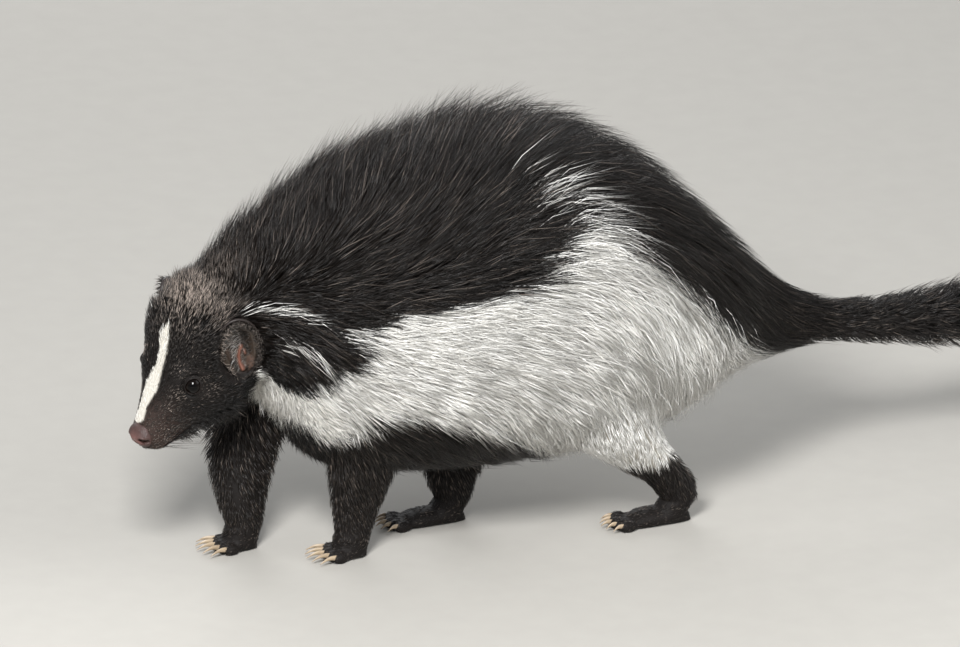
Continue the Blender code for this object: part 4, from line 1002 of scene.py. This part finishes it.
ear_skin, tree = new_material("ear_skin")
is_fold, is_back, is_pit_shade, _ = painted(tree, "tint")
veins = noise(tree, 420.0, 4.0)
colour = mix(tree, is_fold, mix(tree, veins, "#1e1713", "#40352b"), "#734637")
# Painted shade darkens the cup's hollows.
colour = mix(tree, is_back, mix(tree, is_pit_shade, colour, "#120c0a"), "#1d1512")
surface(tree, colour, 0.5, {"Normal": bump(tree, veins, 0.4)})
for word, side in SIDES.items():
    shells, folds, pit_shades = [], [], []
    for k, degrees in enumerate((*EAR_OUTSIDE, *EAR_INSIDE)):
        inside = k - len(EAR_OUTSIDE)
        size = EAR_SIZE if inside < 0 else EAR_SIZE - EAR_WALL * min(1, inside / 3 + 0.35)
        flare = 1 + 0.06 * smooth((degrees - 60) / 30)
        shell = cup(degrees, circle(EAR_AROUND), size) * [flare, flare, 1]
        fold = np.zeros(EAR_AROUND)
        if inside >= 0:
            shell[:, 2] += 0.8 if inside > 2 else 0.4
            for line, wide, tall, red in EAR_FOLDS:
                ridge = hill(off_line(shell[:, :2], line), wide)
                shell[:, 2] += tall * ridge
                fold = np.maximum(fold, ridge * red)
        pit_shade = sum(deep * hill(np.hypot((shell[:, 0] - au) / wide, (shell[:, 1] - av) / high))
                  for au, av, wide, high, deep in EAR_PIT_SHADES)
        shells.append(shell)
        folds.append(fold)
        pit_shades.append(np.clip(pit_shade - 1.2 * fold, 0, 1))
    ear = animal_mesh(f"ear_{word}_skin", from_ear(shells, side), ring_faces(len(shells), EAR_AROUND))
    paint(ear, "tint", folds, np.arange(len(shells))[:, None] < len(EAR_OUTSIDE) + 5, pit_shades, 1)
    face_out(ear)
    give(ear, ear_skin)
    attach(ear, "root")
    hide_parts(f"ear_{word}")
    # Hair on the back of the cup and round its edge, some of it pale and leaning over the opening.
    count = EAR_BACK_HAIRS
    t, angle = draw.random(count) ** 0.6, draw.random(count) * 2 * np.pi
    edge = smooth((t - 0.82) / 0.1)
    root = cup(30 + 62 * t, angle)
    out = unit(root / EAR_SIZE**2)
    frontal = (edge * (0.18 + 0.62 * smooth((-0.1 - np.cos(angle)) / 0.7)))[:, None]
    rim_way = np.sin(np.radians(30 + 62 * t))[:, None] * [0, 0, 1]
    way = rim_way * (1 - 0.6 * frontal) - out * 0.9 * frontal * [1, 1, 0] + draw.normal(0, 0.18, (count, 3))
    way = unit(way) * ((2.4 + 2.6 * edge + 2.0 * frontal[:, 0]) * draw.uniform(0.6, 1.1, count))[:, None]
    path = np.stack([root - out * 0.3, root + way * 0.5 + out * 0.45 * (1 - frontal),
                     root + way + out * 0.3], 1)
    facts = np.stack([np.zeros(count), np.clip(draw.normal(0.4, 0.25, count), 0, 1),
                      np.clip(0.1 + 1.5 * frontal[:, 0] * draw.random(count), 0, 1)], 1)
    ear_hair(f"ear_{word}_hair", side, path, out, draw.uniform(0.24, 0.36, count), facts,
             np.stack([0.01 + 0.98 * angle / (2 * np.pi), 0.01 + 0.98 * t], 1))
    # Longer pale-brown hair that lies on the floor of the cup, from the front wall back and up.
    count = EAR_CUP_HAIRS
    u, v = 0.9 - 1.84 * draw.random(count) ** 0.75, draw.uniform(-0.92, 0.9, count)
    u, v = u[(u**2 + v**2) < 0.93], v[(u**2 + v**2) < 0.93]
    count = len(u)
    inner_size = EAR_SIZE - EAR_WALL
    front_wall = smooth((0.1 - u) / 0.6)
    way = np.stack([0.72 + 0.2 * v, 0.52 - 0.25 * v], 1) + draw.normal(0, 0.07, (count, 2))
    far = draw.uniform(3.0, 5.0, count)
    far = far + front_wall * draw.uniform(0.5, 3.5, count) * (1 + 0.8 * smooth((v + 0.1) / 0.4))
    path = []
    for t in HAIR_STEPS:
        spot = np.stack([u, v], 1) * inner_size[:2] + way * (far * t)[:, None]
        deep = np.sqrt(1 - np.clip(np.sum((spot / inner_size[:2]) ** 2, 1), 0, 0.96))
        path.append(np.column_stack([spot, -inner_size[2] * deep + 0.5 + draw.uniform(0.4, 3.2, count) * t]))
    path = np.stack(path, 1)
    pale = draw.random(count) ** 3 * (0.04 + 0.5 * front_wall)
    facts = np.stack([pale, draw.random(count), (0.2 + 0.6 * front_wall) * draw.random(count)], 1)
    ear_hair(f"ear_{word}_tufts", side, path, -path[:, 0] / EAR_SIZE**2, draw.uniform(0.22, 0.34, count),
             facts, np.stack([0.5 + 0.45 * u, 0.5 + 0.45 * v], 1))

# ---------------------------------------------------------------- claws
# Twenty claws of pale brown horn, longer and straighter on the forefeet, set in the toes' ends.
CLAW_RADIUS, CLAW_ARCH, CLAW_DROP, CLAW_AROUND = 1.4, 0.9, 1.6, 12
horn, tree = new_material("claw_horn")
stretched = node(tree, "Mapping", {"Vector": spots(tree), "Scale": (900, 120, 900)}).outputs["Vector"]
streaks = node(tree, "TexNoise", {"Vector": stretched, "Scale": 1.0, "Detail": 3.0}).outputs["Fac"]
surface(tree, mix(tree, streaks, "#6d5a47", "#b8a68b"), 0.38,
        {"IOR": 1.55, "Normal": bump(tree, streaks, 0.25, 0.0002)})
claws = []
a = circle(CLAW_AROUND)
for (kind, word), rows in LIMBS.items():
    size = FOOT[kind]
    for root, ahead in toe_roots(kind, SIDES[word], rows[-1]):
        base = root + ahead * size["toe"] * 0.86 + [0, 0, 0.7]
        side = np.cross(ahead, [0, 0, 1])
        claw_rings = []
        for t in np.linspace(-0.12, 1, 10):
            bend = CLAW_ARCH * math.sin(math.pi * max(t, 0)) - CLAW_DROP * t * abs(t)
            r = CLAW_RADIUS * max(1 - max(t, 0), 0.03) ** 0.7
            section = np.outer(r * 0.72 * np.cos(a), side) + np.outer(r * 1.15 * np.sin(a), [0, 0, 1])
            claw_rings.append(base + ahead * size["claw"] * t + [0, 0, bend] + section)
        claws.append(animal_mesh("claw", claw_rings, ring_faces(len(claw_rings), CLAW_AROUND)))
claws = join(claws)
claws.name = "claws"
face_out(claws)
give(claws, horn)
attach(claws, "root")

# ---------------------------------------------------------------- whiskers
# Stiff tapered bristles from the whisker pads, and two over each eye and on each cheek.
# How far back each starts, how many degrees up from the side, and how long it is.
WHISKERS = [*((9 + 2.2 * i, -28 - 9 * j, 15 + 3.5 * i) for i in range(4) for j in range(3)),
            (31, 58, 9), (33, 62, 8), (44, -20, 16), (45, -26, 13)]
WHISKER_BOW = np.array([0, 0.25, -0.5])
WHISKER_WIDTH = 0.3
whisker_paths, whisker_out = [], []
for side in (1, -1):
    for back, degrees, far in WHISKERS:
        root = swell(head_section(np.array([back]), np.radians([degrees])))[0] * [side, 1, 1]
        out = unit(root * [1, 0, 1] - [0, 0, 3])
        way = unit(out * 0.75 + [0, 0.75, -0.15]) + draw.normal(0, 0.1, 3)
        whisker_paths.append([root - out * 0.6, *(root + way * far * t + WHISKER_BOW * bow
                                                  for t, bow in ((0.34, 0.3), (0.7, 1.6), (1, 4.0)))])
        whisker_out.append([out])
count = len(whisker_paths)
hair_piece("whiskers", placed(whisker_paths), whisker_out @ HEAD_TURNED.T, np.full(count, WHISKER_WIDTH),
           np.tile([0, 0.4, 0.25], (count, 1)), draw.uniform(0.02, 0.98, (count, 2)))

# ---------------------------------------------------------------- floor, lights and camera
# A plain floor of pale paper, a soft key light near the camera and wide fills. The camera looks
# down on the animal's left side, from far off with a long lens.
LOOK_ROUND, LOOK_DOWN = math.radians(70), math.radians(20)
DISTANCE, VIEW_WIDTH, SENSOR_WIDTH = 15.0, 0.518, 36
bpy.ops.mesh.primitive_plane_add(size=8)
floor = bpy.context.object
floor.name = "floor"
paper, tree = new_material("backdrop_paper")
surface(tree, mix(tree, noise(tree, 60.0, 5.0), "#a09d97", "#a6a39d"), 0.85)
give(floor, paper)

world = bpy.data.worlds.new("studio")
bpy.context.scene.world = world
world.use_nodes = True
sky = world.node_tree.nodes["Background"].inputs
sky["Color"].default_value, sky["Strength"].default_value = linear("#e9edf2"), 0.6

right = Vector((math.cos(LOOK_ROUND), math.sin(LOOK_ROUND), 0))
ahead = Vector((-math.sin(LOOK_ROUND) * math.cos(LOOK_DOWN), math.cos(LOOK_ROUND) * math.cos(LOOK_DOWN),
                -math.sin(LOOK_DOWN)))
above = right.cross(ahead)
middle = right * -0.0865 + above * 0.0988
for name, place, size, power in (("key", middle - ahead * 1.6 - right * 0.25 + above * 0.5, 0.4, 46),
                                 ("fill", middle - ahead * 0.9 + right * 1.5 + above * 0.9, 1.4, 16),
                                 ("back", middle + ahead * 1.4 - right * 0.5 + above * 1.6, 1.2, 22)):
    lamp = bpy.data.lights.new(name, "AREA")
    lamp.size = size
    lamp.energy = power
    light = added(name, lamp)
    light.location = place
    light.rotation_euler = (middle - place).to_track_quat("-Z", "Y").to_euler()

camera = added("camera", bpy.data.cameras.new("camera"))
camera.data.sensor_width = SENSOR_WIDTH
camera.data.lens = SENSOR_WIDTH * DISTANCE / VIEW_WIDTH
camera.data.clip_end = 50
camera.location = middle - ahead * DISTANCE
camera.rotation_euler = Matrix((right, above, -ahead)).transposed().to_euler()
bpy.context.scene.camera = camera
bpy.context.scene.view_settings.view_transform = "Standard"
